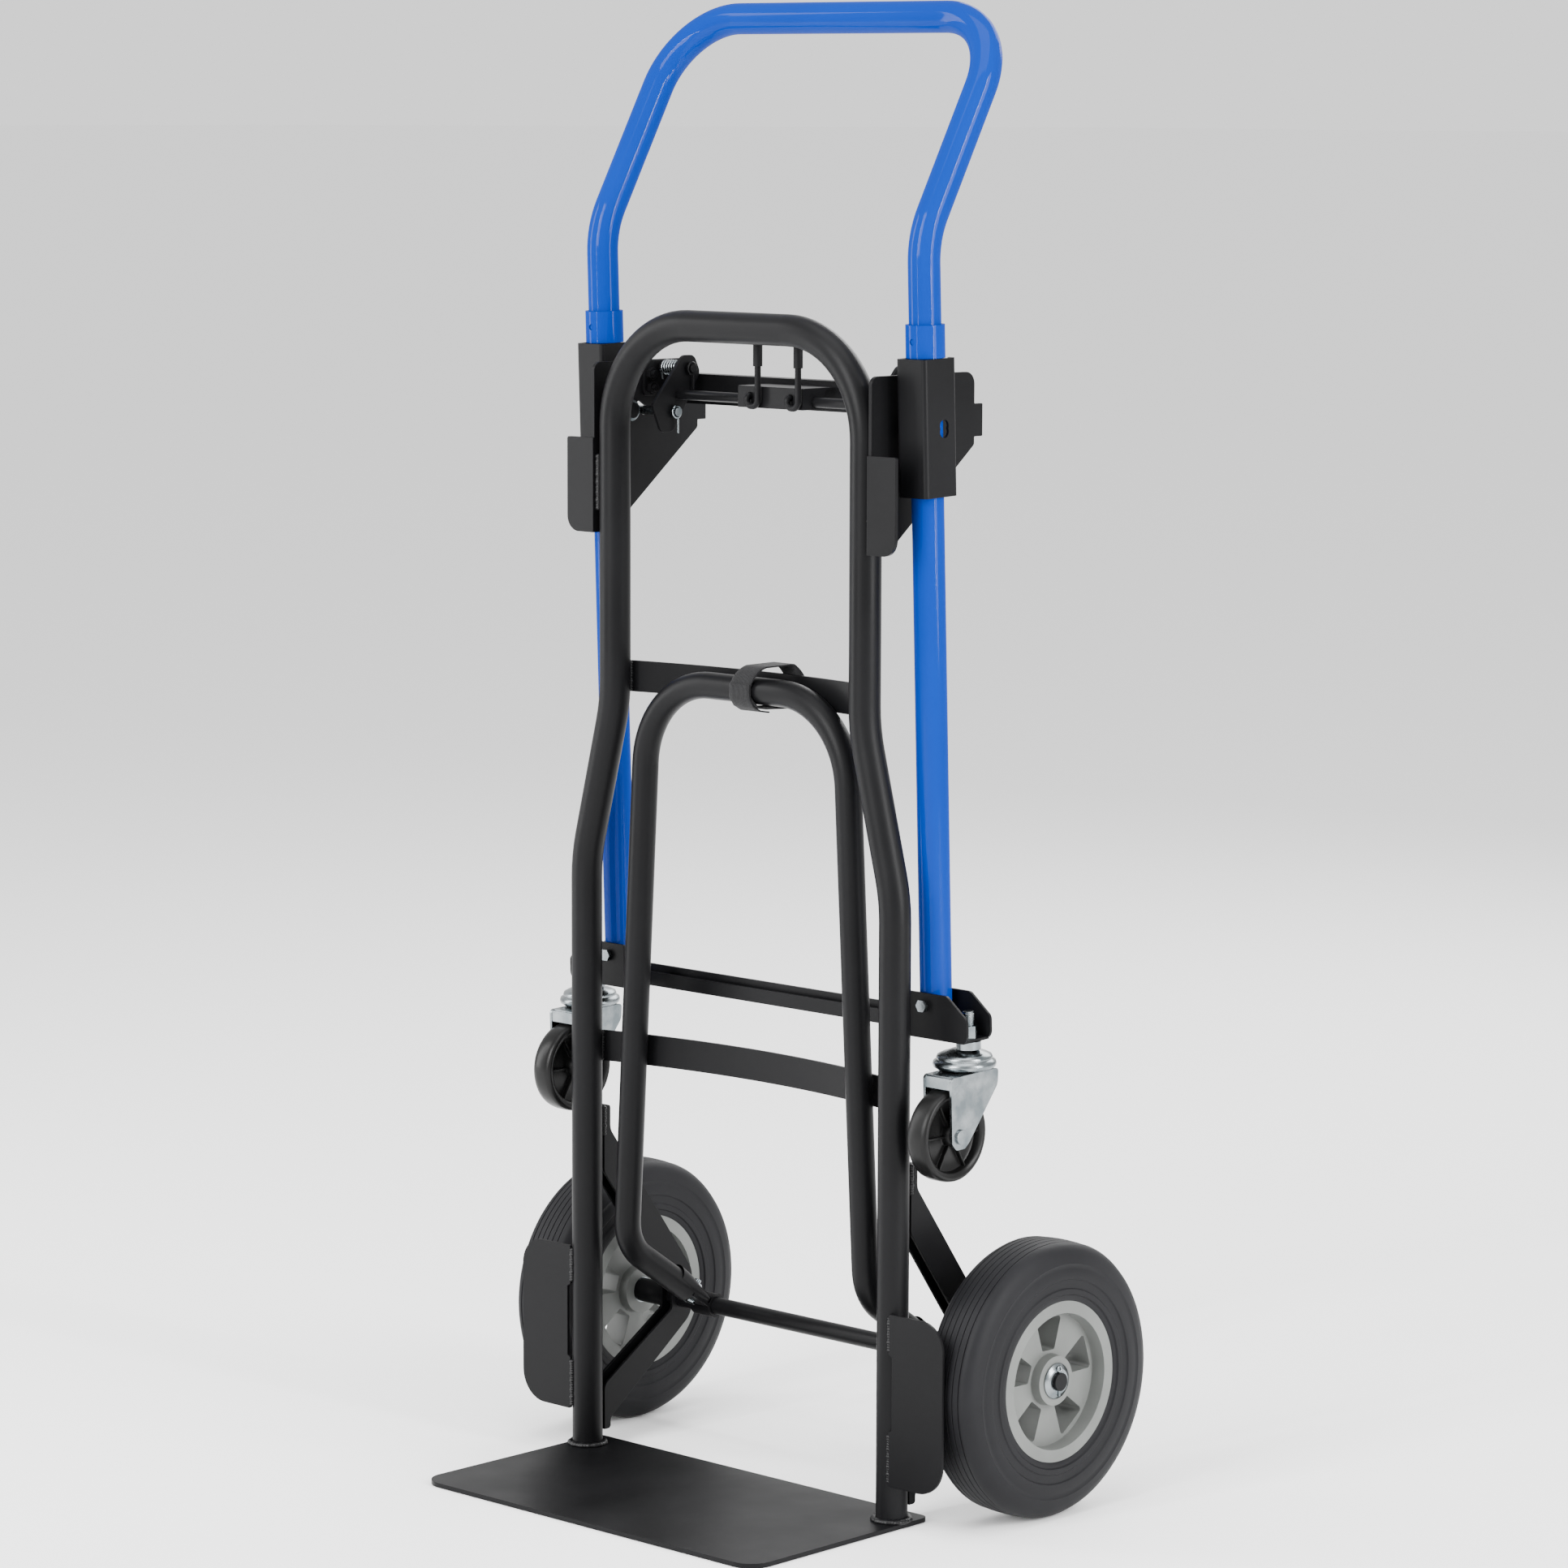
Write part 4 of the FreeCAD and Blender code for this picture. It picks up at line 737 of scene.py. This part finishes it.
class TRUCK_OT_strap(bpy.types.Operator):
    """Wraps the webbing around the nose extension and the upper crossbar, with its overlapped tail"""
    bl_idname = "truck.strap"
    bl_label = "Strap"

    def execute(self, context):
        thickness = context.scene.truck_sizes.strap_thickness
        low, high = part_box("nose_strap")
        low, high = Vector(low), Vector(high)
        inset = thickness * 0.6
        middle = (low + high) / 2.0
        half_y = (high.y - low.y) / 2.0 - inset
        half_z = (high.z - low.z) / 2.0 - inset
        front_x, back_x = low.x - 13.5 * MM, low.x + 17.0 * MM
        corners = ((-1, 1, 180, (0.0, 0.3), (0.0, 6.0)), (1, 1, 90, (0.7, 1.0), (8.0, 1.0)),
                   (1, -1, 0, (1.0, 0.7), (0.0, 0.0)), (-1, -1, -90, (0.3, 0.0), (0.0, 0.0)))
        path = []
        for side_y, side_z, first, slide, lift in corners:
            r = STRAP_FRONT_BEND if side_y < 0 else STRAP_BACK_BEND
            for k in range(STRAP_BEND_STEPS + 1):
                along = k / STRAP_BEND_STEPS
                angle = math.radians(first - 90.0 * along)
                share = slide[0] + (slide[1] - slide[0]) * along
                bulge = (lift[0] + (lift[1] - lift[0]) * along) * MM
                path.append(Vector((front_x + (back_x - front_x) * share,
                                    middle.y + side_y * (half_y - r) + r * math.cos(angle),
                                    middle.z + side_z * (half_z - r) + r * math.sin(angle) + bulge)))
        path.append(path[0])
        width = high.x - low.x
        band = self.ribbon(path, width, thickness)
        tail = [(0.0, low.y + inset * 0.2, middle.z + 6.0 * MM), (0.4, low.y - 0.5 * MM, middle.z),
                (1.0, low.y - 0.4 * MM, middle.z - 7.0 * MM), (3.0, low.y + 2.4 * MM, low.z + 2.6 * MM),
                (7.0, low.y + 7.4 * MM, low.z - 1.4 * MM), (12.0, low.y + 13.0 * MM, low.z - 2.2 * MM)]
        flap = self.ribbon([Vector((front_x + x * MM, y, z)) for x, y, z in tail], width, thickness)
        piece = settle(join([band, flap]), "webbing_strap", 60.0)
        finish_piece(piece, "nose_extension", FINISHES["strap_fabric"], ["nose_strap"])
        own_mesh(piece)
        return {"FINISHED"}

    def ribbon(self, points, width, thickness):
        """A line drawn out to a band, then given its thickness and soft edges."""
        band = traced_line(points)
        bpy.ops.mesh.select_all(action="SELECT")
        steps = 6
        for _ in range(steps):
            bpy.ops.mesh.extrude_region_move(TRANSFORM_OT_translate={"value": (width / steps, 0, 0)})
        bpy.ops.mesh.select_all(action="SELECT")
        bpy.ops.mesh.remove_doubles(threshold=1e-6)
        bpy.ops.mesh.normals_make_consistent(inside=False)
        bpy.ops.object.mode_set(mode="OBJECT")
        wall = band.modifiers.new("Thickness", "SOLIDIFY")
        wall.thickness = thickness
        wall.offset = 0.0
        bevel = band.modifiers.new("Edges", "BEVEL")
        bevel.width = thickness * 0.3
        bevel.segments = 2
        bevel.limit_method = "ANGLE"
        apply_modifiers(band)
        return band


class TRUCK_OT_stage(bpy.types.Operator):
    """Sets the pale floor, the soft studio lights and the camera"""
    bl_idname = "truck.stage"
    bl_label = "Studio"

    def execute(self, context):
        self.floor()
        self.world(context.scene)
        self.light("key", (0.2, -3.2, 2.4), (1.1, 2.6), 170.0)
        self.light("left strip", (-2.4, -1.6, 1.4), (0.7, 2.6), 70.0)
        self.light("right strip", (3.0, 0.6, 1.6), (0.6, 2.6), 80.0)
        self.light("back", (-0.8, 3.0, 2.4), (2.4, 1.6), 90.0)
        self.light("top", (0.3, -0.4, 3.4), (2.0, 2.0), 60.0)
        self.light("right edge", (3.6, 0.1, 1.8), (0.14, 3.0), 140.0)
        self.light("left edge", (-0.3, -3.6, 1.8), (0.10, 3.0), 55.0)
        self.camera(context.scene)
        return {"FINISHED"}

    def floor(self):
        start_clean()
        bpy.ops.mesh.primitive_plane_add(size=1.0, location=(0, 0, -0.0005))
        floor = bpy.context.object
        floor.scale = (FLOOR_SIZE, FLOOR_SIZE, 1.0)
        bpy.ops.object.transform_apply(location=True, scale=True)
        floor.name = "studio_floor"
        material = new_finish("pale floor", (0.96, 0.96, 0.96), 0.8, 0.0, 0.1)[0]
        floor.data.materials.append(material)

    def world(self, scene):
        world = bpy.data.worlds.new("studio")
        world.use_nodes = True
        dome = world.node_tree.nodes["Background"]
        dome.inputs["Color"].default_value = (1.0, 1.0, 1.0, 1.0)
        dome.inputs["Strength"].default_value = WORLD_STRENGTH
        scene.world = world

    def light(self, name, place, size, power):
        data = bpy.data.lights.new(name, "AREA")
        data.shape = "RECTANGLE"
        data.size, data.size_y = size
        data.energy = power
        lamp = bpy.data.objects.new(name, data)
        lamp.location = place
        aim_at = LIGHTS_AIM - Vector(place)
        lamp.rotation_euler = aim_at.to_track_quat("-Z", "Y").to_euler()
        bpy.context.scene.collection.objects.link(lamp)

    def camera(self, scene):
        data = bpy.data.cameras.new("camera")
        data.sensor_width = CAMERA_SENSOR_MM
        data.lens = CAMERA_LENS_MM
        data.clip_end = 200.0
        camera = bpy.data.objects.new("camera", data)
        camera.location = CAMERA_PLACE
        turn = math.radians(CAMERA_TURN_DEG)
        level = Vector((-math.sin(turn), math.cos(turn), 0))
        drop = math.radians(CAMERA_DROP_DEG)
        ahead = level * math.cos(drop) + Vector((0, 0, -math.sin(drop)))
        facing = ahead.to_track_quat("-Z", "Y").to_matrix().to_4x4()
        roll = math.radians(CAMERA_ROLL_DEG)
        camera.rotation_euler = (facing @ Matrix.Rotation(roll, 4, "Z")).to_euler()
        scene.collection.objects.link(camera)
        scene.camera = camera


class TRUCK_PT_panel(bpy.types.Panel):
    """Lists the sizes, colours and building steps of the hand truck"""
    bl_idname = "TRUCK_PT_panel"
    bl_label = "Hand Truck"
    bl_space_type = "VIEW_3D"
    bl_region_type = "UI"
    bl_category = "Hand Truck"

    def draw(self, context):
        for group in (context.scene.truck_look, context.scene.truck_sizes):
            for name in group.__annotations__:
                self.layout.prop(group, name)
        for operator in OPERATORS:
            self.layout.operator(operator.bl_idname)


OPERATORS = (TRUCK_OT_finishes, TRUCK_OT_tyres, TRUCK_OT_hub_caps, TRUCK_OT_caster_wheels,
             TRUCK_OT_raceways, TRUCK_OT_threads, TRUCK_OT_latch_springs, TRUCK_OT_welds,
             TRUCK_OT_flattened_feet, TRUCK_OT_strap, TRUCK_OT_stage)
CLASSES = (TruckLook, TruckSizes, *OPERATORS, TRUCK_PT_panel)


def register():
    for item in CLASSES:
        bpy.utils.register_class(item)
    bpy.types.Scene.truck_look = bpy.props.PointerProperty(type=TruckLook)
    bpy.types.Scene.truck_sizes = bpy.props.PointerProperty(type=TruckSizes)


def unregister():
    del bpy.types.Scene.truck_sizes
    del bpy.types.Scene.truck_look
    for item in reversed(CLASSES):
        bpy.utils.unregister_class(item)


def main():
    register()
    bpy.ops.truck.finishes()
    bpy.ops.truck.tyres()
    bpy.ops.truck.hub_caps()
    bpy.ops.truck.caster_wheels()
    bpy.ops.truck.raceways()
    bpy.ops.truck.threads()
    bpy.ops.truck.latch_springs()
    bpy.ops.truck.welds()
    bpy.ops.truck.flattened_feet()
    bpy.ops.truck.strap()
    bpy.ops.truck.stage()


if __name__ == "__main__":
    main()
